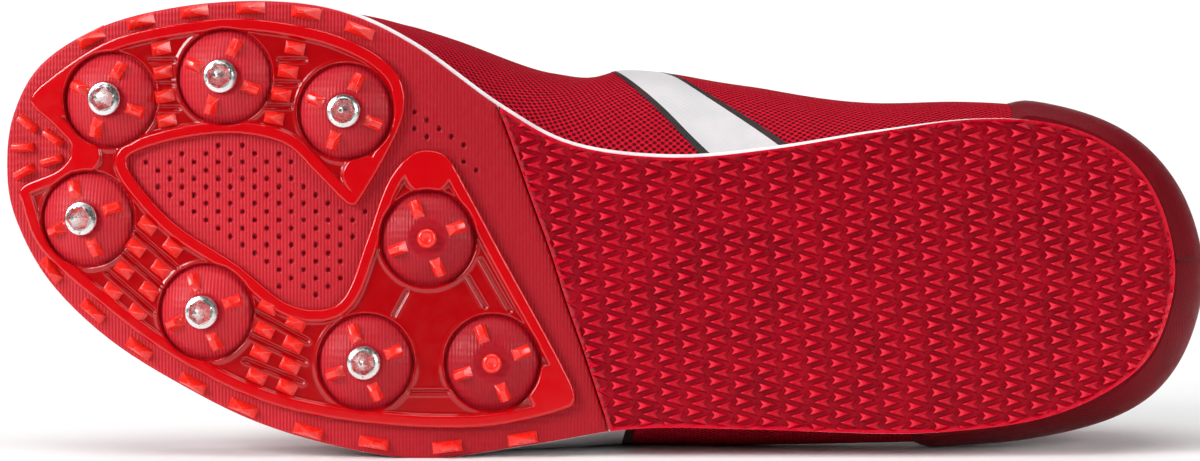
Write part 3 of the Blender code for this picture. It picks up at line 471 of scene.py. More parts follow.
def inside_loop(points, loop):
    """How deep each level point lies inside a closed outline, negative outside."""
    nearest = np.full(len(points), np.inf)
    inside = np.zeros(len(points), bool)
    x, y = points[:, 0], points[:, 1]
    for start, end in zip(loop, np.roll(loop, -1, axis=0)):
        step = end - start
        share = ((x - start[0]) * step[0] + (y - start[1]) * step[1]) / (step @ step)
        share = np.clip(share, 0.0, 1.0)
        gap_x = x - start[0] - share * step[0]
        gap_y = y - start[1] - share * step[1]
        nearest = np.minimum(nearest, gap_x**2 + gap_y**2)
        crossed = (start[1] > y) != (end[1] > y)
        if crossed.any():
            inside[crossed] ^= x[crossed] < start[0] + step[0] * (y[crossed] - start[1]) / step[1]
    return np.where(inside, 1.0, -1.0) * np.sqrt(nearest)


def distance_to_line(points, first, last):
    """How far each level point lies from the straight line between two others."""
    step = last - first
    share = np.clip(((points - first) @ step) / (step @ step), 0.0, 1.0)
    return np.linalg.norm(points - first - share[:, None] * step, axis=1)


def seam_x(y):
    """The seam's place along the shoe, at a place across it."""
    rows = [(point.across * BALL_WIDTH, point.along * SOLE_LENGTH) for point in SEAM]
    return smooth_rows(rows, y)[:, 0]


def rib_points(turns, climbs):
    """Points of the upper's outside, at climb from 0 on the sole's edge to 1 on the top line."""
    rows = smooth_rows(RIBS, turns, TURNS)
    outward = np.pad(edge_outward(turns), ((0, 0), (0, 1)))
    foot = np.pad(edge_points(turns), ((0, 0), (0, 1))) - outward * UPPER_INSET
    foot[:, 2] = feather(foot[:, 0]) + CLEARANCE
    top = rows[:, :3] * (SOLE_LENGTH, BALL_WIDTH, INSTEP_HEIGHT)
    lower = foot + outward * (rows[:, 3:4] * BALL_WIDTH)
    lower[:, 2] += rows[:, 4] * INSTEP_HEIGHT
    upper = top + outward * (rows[:, 5:6] * BALL_WIDTH)
    upper[:, 2] -= rows[:, 6] * INSTEP_HEIGHT
    climb = climbs[:, None]
    rest = 1.0 - climb
    ends = foot * rest**3 + top * climb**3
    return ends + lower * (3 * rest**2 * climb) + upper * (3 * rest * climb**2)


def crease_depth(points, climbs):
    """How far the creases sink the upper, in metres: troughs with a low ridge beside each."""
    sunk = np.zeros(len(points))
    fade = np.clip((climbs - 0.18) / 0.25, 0.0, 1.0) * np.clip((0.93 - climbs) / 0.12, 0.0, 1.0)
    for crease in CREASES:
        middle = crease.along * SOLE_LENGTH + crease.slant * np.abs(points[:, 1] + 0.004)
        off = (points[:, 0] - middle) / (crease.half_width * MM)
        trough = np.exp(-off * off) - 0.45 * np.exp(-((off - 1.6) ** 2))
        sunk += crease.depth * MM * trough
    return sunk * fade


def upper_points(turns, climbs, lift=0.0, creased=True):
    """Points at lift outside the upper's outer face, or inside it where lift is negative."""
    turns, climbs = np.broadcast_arrays(np.asarray(turns, float), np.asarray(climbs, float))
    turns, climbs = np.atleast_1d(turns), np.atleast_1d(climbs)
    step = 0.05
    around = rib_points(turns + step, climbs) - rib_points(turns - step, climbs)
    below, above = np.maximum(climbs - step, 0.0), np.minimum(climbs + step, 1.0)
    up = rib_points(turns, above) - rib_points(turns, below)
    outward = np.cross(around, up)
    outward /= np.linalg.norm(outward, axis=1)[:, None]
    points = rib_points(turns, climbs)
    sunk = crease_depth(points, climbs) if creased else 0.0
    return points + outward * np.reshape(lift - sunk, (-1, 1))


def throat_turn(side, share):
    """The row of the sole's edge whose rib ends at a share of the throat's length."""
    return side.front + (side.top - side.front) * share


def throat_arch(share, across, lift, crown):
    """Points of the arch over the throat, from its outer side at 0 to its inner side at 1."""
    share, across = np.broadcast_arrays(np.asarray(share, float), np.asarray(across, float))
    share, across = np.atleast_1d(share), np.atleast_1d(across)[:, None]
    ends = []
    leans = []
    for side in (OUTER_SIDE, INNER_SIDE):
        turns = throat_turn(side, share)
        end = upper_points(turns, EYELET_CLIMB, lift)
        lean = end - upper_points(turns, TONGUE_CLIMB, lift)
        ends.append(end)
        leans.append(lean / np.linalg.norm(lean, axis=1)[:, None])
    reach = np.linalg.norm(ends[1] - ends[0], axis=1)[:, None] * crown
    outer = ends[0] + leans[0] * reach
    inner = ends[1] + leans[1] * reach
    rest = 1.0 - across
    arch = ends[0] * rest**3 + ends[1] * across**3
    return arch + outer * (3 * rest**2 * across) + inner * (3 * rest * across**2)


def eyelet_shares():
    return spaced(*EYELET_SHARES, EYELET_PAIRS)


def eyelet_places(lift=0.0):
    """The middle of each eyelet, at lift outside the upper."""
    sides = (OUTER_SIDE, INNER_SIDE)
    turns = [throat_turn(side, share) for side in sides for share in eyelet_shares()]
    return upper_points(turns, EYELET_CLIMB, lift)


def seat(along, across, height=0.0, turn=0.0):
    """The place of a part on the sole's underside, with its +Z pointing away from the foot."""
    reach = 0.3 * POD_RADIUS
    x = along * SOLE_LENGTH
    behind, here, ahead = rise([x - reach, x, x + reach])
    lean = math.atan2(ahead - behind, 2 * reach)
    place = Matrix.Translation((x, across * BALL_WIDTH, here))
    place @= Matrix.Rotation(-lean, 4, "Y") @ Matrix.Rotation(math.pi, 4, "X")
    return place @ Matrix.Translation((0.0, 0.0, height)) @ Matrix.Rotation(turn, 4, "Z")


def edge_tangent(point):
    """The turn, seen from below, of the sole's edge at the place that is nearest to a point."""
    turns = np.arange(4 * TURNS) / 4
    nearest = np.linalg.norm(edge_points(turns) - level_point(point), axis=1).argmin()
    outward = edge_outward(turns[nearest])[0]
    return -math.atan2(outward[0], -outward[1])


def mesh_of(name, points, faces, shade=None, weave=None):
    """A smooth mesh, with a shade for its colours and the place of each point in its cloth."""
    mesh = bpy.data.meshes.new(name)
    mesh.from_pydata(np.asarray(points).tolist(), [], [list(face) for face in faces])
    if shade is not None:
        mesh.attributes.new("shade", "FLOAT", "POINT").data.foreach_set(
            "value", np.asarray(shade, np.float32)
        )
    if weave is not None:
        flat = np.zeros((len(points), 3), np.float32)
        flat[:, :2] = weave
        mesh.attributes.new("weave", "FLOAT_VECTOR", "POINT").data.foreach_set(
            "vector", flat.ravel()
        )
    mesh.update()
    return mesh


def grid_faces(rows, columns, closed=False):
    """The quads of a grid of points, in rows of columns, as a ring where it is closed."""
    index = np.arange(rows * columns).reshape(rows, columns)
    if closed:
        index = np.concatenate([index, index[:, :1]], axis=1)
    corners = (index[:-1, :-1], index[:-1, 1:], index[1:, 1:], index[1:, :-1])
    return np.stack(corners, axis=-1).reshape(-1, 4)


def rim_edges(quads):
    """The directed edges that only one quad has."""
    edges = np.concatenate([quads[:, [side, (side + 1) % 4]] for side in range(4)])
    _, which, counts = np.unique(np.sort(edges, axis=1), axis=0, return_inverse=True, return_counts=True)
    return edges[counts[which.ravel()] == 1]


def kept_grid(points, quads, keep):
    """The grid's quads that are kept, numbered anew, and the numbers of the points that they use."""
    used, renumbered = np.unique(quads[keep], return_inverse=True)
    return points[used], renumbered.reshape(-1, 4), used


def with_skirt(points, quads, lowered):
    """The sheet with a wall from its rim to the rim's lowered copy."""
    edges = rim_edges(quads)
    rim, number = np.unique(edges, return_inverse=True)
    number = number.reshape(-1, 2) + len(points)
    walls = np.stack([edges[:, 1], edges[:, 0], number[:, 0], number[:, 1]], axis=1)
    return np.concatenate([points, lowered(rim)]), np.concatenate([quads, walls]), rim


def inward(inside, points):
    """The level directions in which inside grows fastest at points."""
    reach = np.array((0.05 * MM, 0.0))
    slope = np.column_stack([
        inside(points + reach) - inside(points - reach),
        inside(points + reach[::-1]) - inside(points - reach[::-1]),
    ])
    return slope / (np.linalg.norm(slope, axis=1)[:, None] + 1e-12)


def relief(name, step, inside, height, skirt, box):
    """A sheet over the sole's underside where inside is positive, at the height away from the
    foot and with the shade that height() gives, and with a wall at its rim."""
    xs = np.arange(box[0][0], box[0][1], step[0])
    ys = np.arange(box[1][0], box[1][1], step[1])
    grid = np.stack(np.meshgrid(xs, ys, indexing="ij"), axis=-1).reshape(-1, 2)
    quads = grid_faces(len(xs), len(ys))
    points, quads, _ = kept_grid(grid, quads, inside(grid[quads].mean(axis=1)) > 0)
    rim = np.unique(rim_edges(quads))
    for _ in range(3):
        here = points[rim]
        points[rim] -= inside(here)[:, None] * inward(inside, here)
    level, shade = height(points)
    solid = np.column_stack([points, rise(points[:, 0]) - level])

    def lowered(rim):
        low = solid[rim].copy()
        low[:, 2] = rise(low[:, 0]) - skirt
        return low

    solid, quads, rim = with_skirt(solid, quads, lowered)
    return mesh_of(name, solid, quads, np.concatenate([shade, shade[rim]]))


def patch(name, turns, climbs, lift, root, holes=(), hole_radius=0.0):
    """A sheet on the upper over a grid of turns and climbs, with its rim sunk to root."""
    turn_grid, climb_grid = np.meshgrid(turns, climbs)
    turn_grid, climb_grid = turn_grid.ravel(), climb_grid.ravel()
    points = upper_points(turn_grid, climb_grid, lift)
    quads = grid_faces(len(climbs), len(turns))
    solid, quads, used = with_holes(points, quads, holes, hole_radius)
    sunk = upper_points(turn_grid, climb_grid, root)[used]
    sunk += solid - points[used]
    solid, quads, rim = with_skirt(solid, quads, lambda rim: sunk[rim])
    weave = cloth_places(turn_grid, climb_grid)[used]
    return mesh_of(name, solid, quads, weave=np.concatenate([weave, weave[rim]]))


def with_holes(points, quads, holes, radius):
    """The grid without the quads at each hole, and with the rim's points on the hole's circle."""
    middles = points[quads].mean(axis=1)
    keep = np.ones(len(quads), bool)
    for hole in holes:
        keep &= np.linalg.norm(middles - hole, axis=1) > radius
    points, quads, used = kept_grid(points, quads, keep)
    rim = np.unique(rim_edges(quads))
    for hole in holes:
        off = points[rim] - hole
        far = np.linalg.norm(off, axis=1)
        near = far < HOLE_REACH * radius
        points[rim[near]] = hole + off[near] * (radius / far[near])[:, None]
    return points, quads, used


def film_lift(turns, climbs, side, foot, top):
    """How far a film stands off the upper, thinned over these turns and climbs at its edges."""
    from_side = np.minimum(turns - turns[0], turns[-1] - turns) / side
    from_end = np.minimum((climbs - climbs[0]) / foot, (climbs[-1] - climbs) / top)
    edge = np.minimum(from_side[None, :], from_end[:, None])
    edge = np.sin(np.clip(edge, 0.0, 1.0) * math.pi / 2).ravel()
    return CLEARANCE / 2 + (OVERLAY_WALL + CLEARANCE / 2) * edge


def cloth_places(turns, climbs):
    """Places in the cloth, in metres along its threads."""
    flat = np.array([(turn, 0.0) for turn in range(TURNS + 1)])
    around = edge_points(flat[:, 0])
    run = np.concatenate([[0.0], np.cumsum(np.linalg.norm(np.diff(around, axis=0), axis=1))])
    along = np.interp(np.asarray(turns) % TURNS, flat[:, 0], run)
    rows = smooth_rows(RIBS, turns, TURNS)
    length = 0.055 + 0.055 * rows[:, 2]
    return np.column_stack([along, climbs * length])


def add_piece(mesh, material, nodes=(), smooth=40):
    """A piece in its place on the lying shoe, which stands for the solids that are named."""
    piece = bpy.data.objects.new(mesh.name, mesh)
    bpy.context.scene.collection.objects.link(piece)
    for one in material if isinstance(material, (list, tuple)) else [material]:
        mesh.materials.append(one)
    mesh.shade_smooth()
    mesh.set_sharp_from_angle(angle=math.radians(smooth))
    piece.matrix_world = lying_place()
    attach(piece, "root")
    if nodes:
        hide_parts(*nodes)
    return piece


def wedge_shape(wedge, root=0.0006, round_edge=0.14):
    """A moulded wedge with rounded edges: its points and its faces."""
    work = bmesh.new()
    bmesh.ops.create_cube(work, size=1.0)
    for vert in work.verts:
        top = vert.co.z > 0
        back = -wedge.top_back * wedge.length if top else 0.0
        vert.co.x = vert.co.x * wedge.length * (wedge.top_length if top else 1.0) + back
        vert.co.y *= wedge.width * (wedge.top_width if top else 1.0)
        vert.co.z = wedge.height if top else -root
    edges = [edge for edge in work.edges if max(vert.co.z for vert in edge.verts) > 0]
    bmesh.ops.bevel(
        work, geom=edges, offset=round_edge * MM, segments=2, affect="EDGES", profile=0.5
    )
    points = np.array([vert.co[:] for vert in work.verts])
    work.verts.index_update()
    faces = [[vert.index for vert in face.verts] for face in work.faces]
    work.free()
    return points, faces


def turned_shape(profile, sides):
    """A turned form, from a profile of radius and height that ends at the axis."""
    angles = np.arange(sides) * math.tau / sides
    rings = [
        np.column_stack([radius * np.cos(angles), radius * np.sin(angles), np.full(sides, height)])
        for radius, height in profile
    ]
    faces = grid_faces(len(profile), sides, True).tolist()
    last = (len(profile) - 1) * sides
    faces.append(list(range(last, last + sides)))
    return np.concatenate(rings), faces


def joined(name, shapes, shades=None):
    """One mesh of many shapes, each given as its points, its faces and its place."""
    points, faces, shade = [], [], []
    count = 0
    for number, (form, form_faces, place) in enumerate(shapes):
        matrix = np.array(place)
        points.append(form @ matrix[:3, :3].T + matrix[:3, 3])
        faces += [[count + index for index in face] for face in form_faces]
        count += len(form)
        if shades is not None:
            shade.append(shades[number])
    return mesh_of(name, np.concatenate(points), faces, np.concatenate(shade) if shades else None)


class Painter:
    """A material's node tree, with short ways to add the nodes that the finishes share."""

    def __init__(self, name, colour, roughness, metallic=0.0):
        self.material = bpy.data.materials.new(name)
        self.material.use_nodes = True
        self.tree = self.material.node_tree
        self.shader = self.tree.nodes["Principled BSDF"]
        self.set("Base Color", (*colour, 1.0))
        self.set("Roughness", roughness)
        self.set("Metallic", metallic)
        self.normal = None

    def set(self, socket, value):
        self.shader.inputs[socket].default_value = value

    def node(self, kind, links=(), **settings):
        node = self.tree.nodes.new(kind)
        for key, value in settings.items():
            setattr(node, key, value)
        for socket, value in links:
            if isinstance(value, bpy.types.NodeSocket):
                self.tree.links.new(value, node.inputs[socket])
            else:
                node.inputs[socket].default_value = value
        return node

    def place(self):
        return self.node("ShaderNodeTexCoord").outputs["Object"]

    def axis(self, name):
        return self.node("ShaderNodeSeparateXYZ", (("Vector", self.place()),)).outputs[name]

    def attribute(self, name):
        return self.node("ShaderNodeAttribute", attribute_name=name)

    def noise(self, scale, detail=3.0, where=None):
        links = (("Vector", where or self.place()), ("Scale", scale), ("Detail", detail))
        return self.node("ShaderNodeTexNoise", links).outputs["Fac"]

    def ranged(self, value, low, high, to_low=0.0, to_high=1.0):
        links = ((0, value), (1, low), (2, high), (3, to_low), (4, to_high))
        return self.node("ShaderNodeMapRange", links, interpolation_type="SMOOTHSTEP").outputs[0]

    def math(self, operation, first, second=0.0):
        return self.node("ShaderNodeMath", ((0, first), (1, second)), operation=operation).outputs[0]

    def mix(self, share, first, second):
        """A colour between two others, each a colour's three numbers or a socket."""
        node = self.node("ShaderNodeMix", (("Factor", share),), data_type="RGBA")
        for socket, value in ((6, first), (7, second)):
            if isinstance(value, bpy.types.NodeSocket):
                self.tree.links.new(value, node.inputs[socket])
            else:
                node.inputs[socket].default_value = (*value, 1.0)
        return node.outputs[2]

    def colour(self, socket):
        self.tree.links.new(socket, self.shader.inputs["Base Color"])

    def grain(self, scale, low, high):
        """A roughness that wanders between low and high."""
        rough = self.ranged(self.noise(scale), 0.3, 0.7, low, high)
        self.tree.links.new(rough, self.shader.inputs["Roughness"])

    def shine(self, level):
        self.set("Specular IOR Level", level)

    def coat(self, weight, roughness):
        self.set("Coat Weight", weight)
        self.set("Coat Roughness", roughness)

    def glow(self, weight, radius):
        """Light that travels a little way under the surface, by radius in metres."""
        self.set("Subsurface Weight", weight)
        self.set("Subsurface Radius", radius)
        self.set("Subsurface Scale", 1.0)

    def bump(self, height, distance, strength=1.0):
        links = [("Height", height), ("Distance", distance), ("Strength", strength)]
        if self.normal:
            links.append(("Normal", self.normal))
        self.normal = self.node("ShaderNodeBump", links).outputs["Normal"]
        self.tree.links.new(self.normal, self.shader.inputs["Normal"])

    def lattice(self, where, cell):
        """How far a place lies from the nearest point of a staggered lattice, from 0 to 1."""
        scaled = self.node(
            "ShaderNodeVectorMath",
            ((0, where), (1, (2.0 / cell[0], 2.0 / cell[1], 0.0))),
            operation="MULTIPLY",
        ).outputs[0]
        found = []
        for shift in (0.0, 1.0):
            moved = self.node(
                "ShaderNodeVectorMath", ((0, scaled), (1, (shift, shift, 0.0))), operation="ADD"
            ).outputs[0]
            wrapped = self.node(
                "ShaderNodeVectorMath",
                ((0, moved), (1, (1.0, 1.0, 1.0)), (2, (-1.0, -1.0, -1.0))),
                operation="WRAP",
            ).outputs[0]
            found.append(
                self.node("ShaderNodeVectorMath", ((0, wrapped),), operation="LENGTH").outputs[1]
            )
        return self.math("MINIMUM", found[0], found[1])


def rubber_finish(colours):
    painter = Painter("heel_rubber", colours.rubber, 0.42)
    painter.shine(0.15)
    shade = painter.attribute("shade").outputs["Fac"]
    # Painted shade: where the shade attribute is low, on the floor of the grooves, the red darkens to the
    # groove shade colour
    deep = painter.mix(painter.ranged(shade, 0.0, 0.55), colours.rubber_groove_shade, colours.rubber)
    # Painted highlight: the highest parts of the teeth are lightened to a pinkish red
    bright = painter.mix(painter.ranged(shade, 0.72, 1.0), deep, colours.rubber_tip_highlight)
    cloudy = painter.ranged(painter.noise(120.0), 0.3, 0.7, 0.0, 0.35)
    painter.colour(painter.mix(cloudy, bright, colours.rubber))
    painter.grain(900.0, 0.34, 0.52)
    painter.bump(painter.noise(1800.0, 4.0), 0.00006)
    painter.glow(0.12, (0.0022, 0.0005, 0.0005))
    return painter.material


def plate_finish(colours):
    painter = Painter("ribbed_plate", colours.plate, 0.42)
    painter.shine(0.22)
    shade = painter.attribute("shade").outputs["Fac"]
    # Painted light: the rib tops are lightened and the valleys between them left darker, by the shade
    # attribute
    ribs = painter.mix(painter.ranged(shade, 0.45, 1.0), colours.plate, colours.plate_rib_highlight)
    # Painted shade: the plate and the pods darken towards the heel along X, standing in for the light's
    # falloff
    rear = painter.ranged(painter.axis("X"), 0.055, 0.115, 0.0, 0.85)
    ribs = painter.mix(rear, ribs, colours.plate_cloud_and_rear_shade)
    # Painted shade: the perforations darken to near black
    pits = painter.mix(painter.ranged(shade, 0.05, 0.4), colours.plate_pit_shade, ribs)
    # Random darker clouds, in the same colour as the painted rear shade
    cloudy = painter.ranged(painter.noise(45.0), 0.35, 0.7, 0.0, 0.22)
    painter.colour(painter.mix(cloudy, pits, colours.plate_cloud_and_rear_shade))
    beads = painter.node(
        "ShaderNodeTexWave",
        (("Vector", painter.place()), ("Scale", 196.0), ("Distortion", 1.5), ("Detail", 1.0)),
        wave_type="BANDS",
        bands_direction="Y",
    ).outputs["Fac"]
    painter.bump(beads, 0.00005, 0.8)
    painter.grain(700.0, 0.36, 0.52)
    painter.glow(0.2, (0.003, 0.0007, 0.0007))
    return painter.material


def gloss_finish(colours):
    painter = Painter("glossy_claw", colours.claw, 0.16)
    shade = painter.attribute("shade").outputs["Fac"]
    # Painted shade: the sunk channels take a darker red than the raised rims
    raised = painter.mix(painter.ranged(shade, 0.0, 1.0), colours.claw_channel_shade, colours.claw)
    painter.colour(raised)
    painter.grain(300.0, 0.12, 0.22)
    painter.bump(painter.noise(240.0, 2.0), 0.00005, 0.5)
    painter.coat(0.5, 0.05)
    painter.shine(0.3)
    return painter.material


def stud_finish(colours):
    painter = Painter("bright_studs", colours.stud, 0.28)
    worn = painter.ranged(painter.noise(800.0), 0.35, 0.75, 0.0, 0.35)
    painter.colour(painter.mix(worn, colours.stud, colours.claw))
    painter.bump(painter.noise(2500.0, 3.0), 0.00004)
    painter.grain(500.0, 0.22, 0.36)
    painter.glow(0.25, (0.002, 0.0005, 0.0003))
    painter.coat(0.4, 0.15)
    return painter.material


def steel_finish(colours):
    painter = Painter("turned_steel", colours.steel, 0.24, 1.0)
    speckled = painter.ranged(painter.noise(1300.0, 4.0), 0.60, 0.68)
    painter.colour(painter.mix(speckled, colours.steel, colours.steel_dull))
    painter.grain(900.0, 0.20, 0.34)
    painter.bump(painter.noise(1600.0, 2.0), 0.000006)
    return painter.material


def mesh_finish(colours):
    """The open knitted mesh: staggered holes between twisted threads."""
    painter = Painter("knitted_mesh", colours.mesh, 0.75)
    cloth = painter.attribute("weave").outputs["Vector"]
    near = painter.lattice(cloth, KNIT_CELL)
    thread = painter.ranged(near, 0.34, 0.66)
    wavy = painter.noise(1600.0, 4.0)
    patchy = painter.ranged(painter.noise(60.0), 0.3, 0.7, 0.0, 0.5)
    yarn = painter.mix(painter.ranged(wavy, 0.3, 0.7), colours.mesh, colours.mesh_light)
    yarn = painter.mix(patchy, yarn, colours.mesh)
    painter.colour(painter.mix(thread, colours.mesh_hole, yarn))
    painter.bump(thread, 0.00035)
    painter.bump(wavy, 0.00008)
    painter.shine(0.08)
    return painter.material


def film_finish(colours):
    painter = Painter("satin_film", colours.film, 0.45)
    painter.shine(0.1)
    painter.colour(
        painter.mix(painter.ranged(painter.noise(50.0), 0.3, 0.7, 0.0, 0.4), colours.film, colours.film_light)
    )
    painter.grain(400.0, 0.4, 0.52)
    cloth = painter.attribute("weave").outputs["Vector"]
    painter.bump(painter.ranged(painter.lattice(cloth, KNIT_CELL), 0.2, 0.8), 0.00005)
    return painter.material


def plain_film_finish(name, colour, other):
    painter = Painter(name, colour, 0.45)
    painter.shine(0.2)
    painter.colour(painter.mix(painter.ranged(painter.noise(90.0), 0.35, 0.7, 0.0, 0.3), colour, other))
    cloth = painter.attribute("weave").outputs["Vector"]
    painter.bump(painter.ranged(painter.lattice(cloth, KNIT_CELL), 0.2, 0.8), 0.00004)
    painter.grain(600.0, 0.4, 0.55)
    return painter.material


def cloth_finish(name, colour, other, cell=0.0008):
    """A close weave: the lining, the binding, the laces and the insole."""
    painter = Painter(name, colour, 0.85)
    weave = painter.node(
        "ShaderNodeTexVoronoi",
        (("Vector", painter.place()), ("Scale", 1.0 / cell), ("Randomness", 0.35)),
    ).outputs["Distance"]
    tone = painter.mix(painter.ranged(weave, 0.15, 0.75), other, colour)
    patchy = painter.ranged(painter.noise(70.0), 0.3, 0.7, 0.0, 0.5)
    painter.colour(painter.mix(patchy, tone, colour))
    painter.bump(weave, 0.6 * cell, 0.5)
    painter.bump(painter.noise(2600.0, 3.0), 0.00005)
    painter.set("Sheen Weight", 0.12)
    painter.shine(0.2)
    painter.set("Sheen Roughness", 0.5)
    return painter.material


def foam_finish(colours):
    painter = Painter("midsole_foam", colours.foam, 0.6)
    painter.colour(
        painter.mix(painter.ranged(painter.noise(140.0), 0.35, 0.7), colours.foam, colours.foam_tint)
    )
    cells = painter.node(
        "ShaderNodeTexVoronoi", (("Vector", painter.place()), ("Scale", 1400.0))
    ).outputs["Distance"]
    painter.bump(cells, 0.00005)
    painter.glow(0.15, (0.002, 0.001, 0.001))
    return painter.material


def colour_property(name, description, default):
    return bpy.props.FloatVectorProperty(
        name=name, description=description, subtype="COLOR", size=3, min=0.0, max=1.0, default=default
    )


def length_property(name, description, default):
    return bpy.props.FloatProperty(
        name=name, description=description, default=default, min=0.0, subtype="DISTANCE", unit="LENGTH"
    )


class ShoeColours(bpy.types.PropertyGroup):
    """Colours of the shoe's finishes."""

    rubber: colour_property("Heel rubber", "Sides of the heel's tread", (0.54, 0.0, 0.016))
    # Painted shade on the floor of the tread's grooves
    rubber_groove_shade: colour_property("Heel grooves", "Floor of the grooves", (0.25, 0.0, 0.008))
    # Painted highlight on the tops of the tread's teeth
    rubber_tip_highlight: colour_property("Heel tips", "Tops of the tread's teeth", (0.88, 0.04, 0.075))
    plate: colour_property("Plate", "Forefoot plate between its ribs", (0.46, 0.004, 0.015))
    # Painted highlight on the tops of the plate's ribs
    plate_rib_highlight: colour_property("Plate ribs", "Tops of the plate's ribs", (0.62, 0.030, 0.042))
    # Both random darker clouds in the plate and the painted shade towards its rear
    plate_cloud_and_rear_shade: colour_property("Plate depths", "Darker parts, mostly at the rear", (0.34, 0.003, 0.011))
    # Painted shade in the bottoms of the perforations
    plate_pit_shade: colour_property("Plate pits", "Bottoms of the perforations", (0.16, 0.0, 0.01))
    claw: colour_property("Claw", "Glossy traction frame", (0.54, 0.0, 0.003))
    # Painted shade in the sunk channels of the frame
    claw_channel_shade: colour_property("Claw channel", "Sunk parts of the frame", (0.37, 0.0, 0.002))
    stud: colour_property("Studs", "Moulded studs, fins and bars", (0.86, 0.018, 0.010))
    steel: colour_property("Steel", "Pins and their flanges", (0.74, 0.73, 0.72))
    steel_dull: colour_property("Dull steel", "Speckles on the steel", (0.36, 0.36, 0.34))
    mesh: colour_property("Mesh", "Threads of the upper", (0.50, 0.001, 0.015))
    mesh_light: colour_property("Mesh highlights", "Lighter threads", (0.70, 0.006, 0.030))
    mesh_hole: colour_property("Mesh holes", "Shadow in the mesh's holes", (0.07, 0.0, 0.004))
    film: colour_property("Film", "Heel counter and eyestay", (0.12, 0.0005, 0.004))
    film_light: colour_property("Film tint", "Lighter parts of the film", (0.21, 0.002, 0.010))
    band: colour_property("Bands", "The bands on both sides", (0.54, 0.53, 0.535))
    band_border: colour_property("Band borders", "Dark edges of the bands", (0.012, 0.010, 0.011))
    lining: colour_property("Lining", "Inside of the upper and the tongue", (0.26, 0.004, 0.016))
    lining_dark: colour_property("Lining threads", "Darker threads", (0.12, 0.002, 0.010))
    lace: colour_property("Laces", "Lacing cord", (0.52, 0.004, 0.022))
    lace_dark: colour_property("Lace threads", "Darker threads", (0.26, 0.002, 0.012))
    foam: colour_property("Midsole", "Foam of the midsole", (0.86, 0.82, 0.83))
    foam_tint: colour_property("Midsole tint", "Tinted parts of the foam", (0.74, 0.66, 0.69))
    floor: colour_property("Floor", "Floor and backdrop", (0.93, 0.93, 0.93))


class ShoeSizes(bpy.types.PropertyGroup):
    """Sizes of the fine detail that the solids leave out."""

    rib_pitch: length_property("Rib pitch", "From rib to rib on the plate", 0.0008)
    rib_depth: length_property("Rib depth", "Depth between the plate's ribs", 0.00013)
    pit_radius: length_property("Pit radius", "Radius of a perforation", 0.00054)
    pit_depth: length_property("Pit depth", "Depth of a perforation", 0.0007)
    rim_width: length_property("Rim width", "Raised flat rim of the claw", 0.0026)
    channel_depth: length_property("Channel depth", "Depth behind the claw's rim", 0.0010)
    lace_width: length_property("Lace width", "Width of the flat lace", 0.0038)
    binding_radius: length_property("Binding radius", "Half the collar binding's width", 0.0013)


def colours():
    return bpy.context.scene.spike_shoe_colours


def sizes():
    return bpy.context.scene.spike_shoe_sizes


class MakeUpper(bpy.types.Operator):
    """The knitted upper, one wall with creases over the ball and holes for the laces"""

    bl_idname = "spike_shoe.make_upper"
    bl_label = "Upper"

    def execute(self, context):
        samples = 10
        turns = np.arange(TURNS * samples) / samples
        climbs = np.concatenate([[0.0], np.linspace(0.012, 1.0, 64)])
        turn_grid, climb_grid = np.meshgrid(turns, climbs)
        turn_grid, climb_grid = turn_grid.ravel(), climb_grid.ravel()
        points = upper_points(turn_grid, climb_grid)
        points[: len(turns), 2] -= 2 * CLEARANCE
        quads = grid_faces(len(climbs), len(turns), True)
        solid, quads, used = with_holes(points, quads, eyelet_places(), EYELET_RADIUS)
        weave = cloth_places(turn_grid, climb_grid)[used]
        mesh = mesh_of("upper_mesh", solid, quads, weave=weave)
        lining = cloth_finish("lining", colours().lining, colours().lining_dark)
        piece = add_piece(mesh, [mesh_finish(colours()), lining], ["upper"], 50)
        wall = piece.modifiers.new("wall", "SOLIDIFY")
        wall.thickness = UPPER_WALL
        wall.offset = -1.0
        wall.use_even_offset = True
        wall.material_offset = 1
        wall.material_offset_rim = 1
        return {"FINISHED"}


class MakeCounter(bpy.types.Operator):
    """The satin film round the heel, with thinned edges"""

    bl_idname = "spike_shoe.make_counter"
    bl_label = "Heel counter"

    def execute(self, context):
        turns = np.linspace(COUNTER_INNER, COUNTER_OUTER, 100)
        climbs = np.linspace(*COUNTER_CLIMB, 50)
        lift = film_lift(turns, climbs, 0.25, 0.015, 0.04)
        mesh = patch("heel_counter_film", turns, climbs, lift, -CLEARANCE)
        add_piece(mesh, film_finish(colours()), ["heel_counter"])
        return {"FINISHED"}


class MakeEyestay(bpy.types.Operator):
    """The reinforcement along the throat, with a rimmed hole for each turn of the lace"""

    bl_idname = "spike_shoe.make_eyestay"
    bl_label = "Eyestay"

    def execute(self, context):
        turns = np.linspace(OUTER_SIDE.top - EYESTAY_ONWARD, INNER_SIDE.top + EYESTAY_ONWARD, 420)
        climbs = np.linspace(*EYESTAY_CLIMB, 22)
        lift = film_lift(turns, climbs, 0.12, 0.012, 0.012)
        holes = eyelet_places(OVERLAY_WALL + CLEARANCE)
        mesh = patch("eyestay_film", turns, climbs, lift, -CLEARANCE, holes, EYELET_RADIUS)
        add_piece(mesh, film_finish(colours()), ["eyestay"])
        self.make_rings(holes)
        return {"FINISHED"}

    def make_rings(self, holes):
        """A pressed ring round each hole."""
        profile = [
            (EYELET_RADIUS + RING_WIRE * (1 + math.cos(angle)), RING_WIRE * math.sin(angle))
            for angle in spaced(0.0, math.tau, 9)
        ]
        form = turned_shape(profile, 24)
        ring = (form[0], form[1][:-1])
        shapes = []
        for hole, root in zip(holes, eyelet_places()):
            facing = Vector(hole - root).to_track_quat("Z", "Y").to_matrix().to_4x4()
            shapes.append((*ring, Matrix.Translation(hole) @ facing))
        mesh = joined("eyelet_rings", shapes)
        add_piece(mesh, film_finish(colours()), smooth=80)


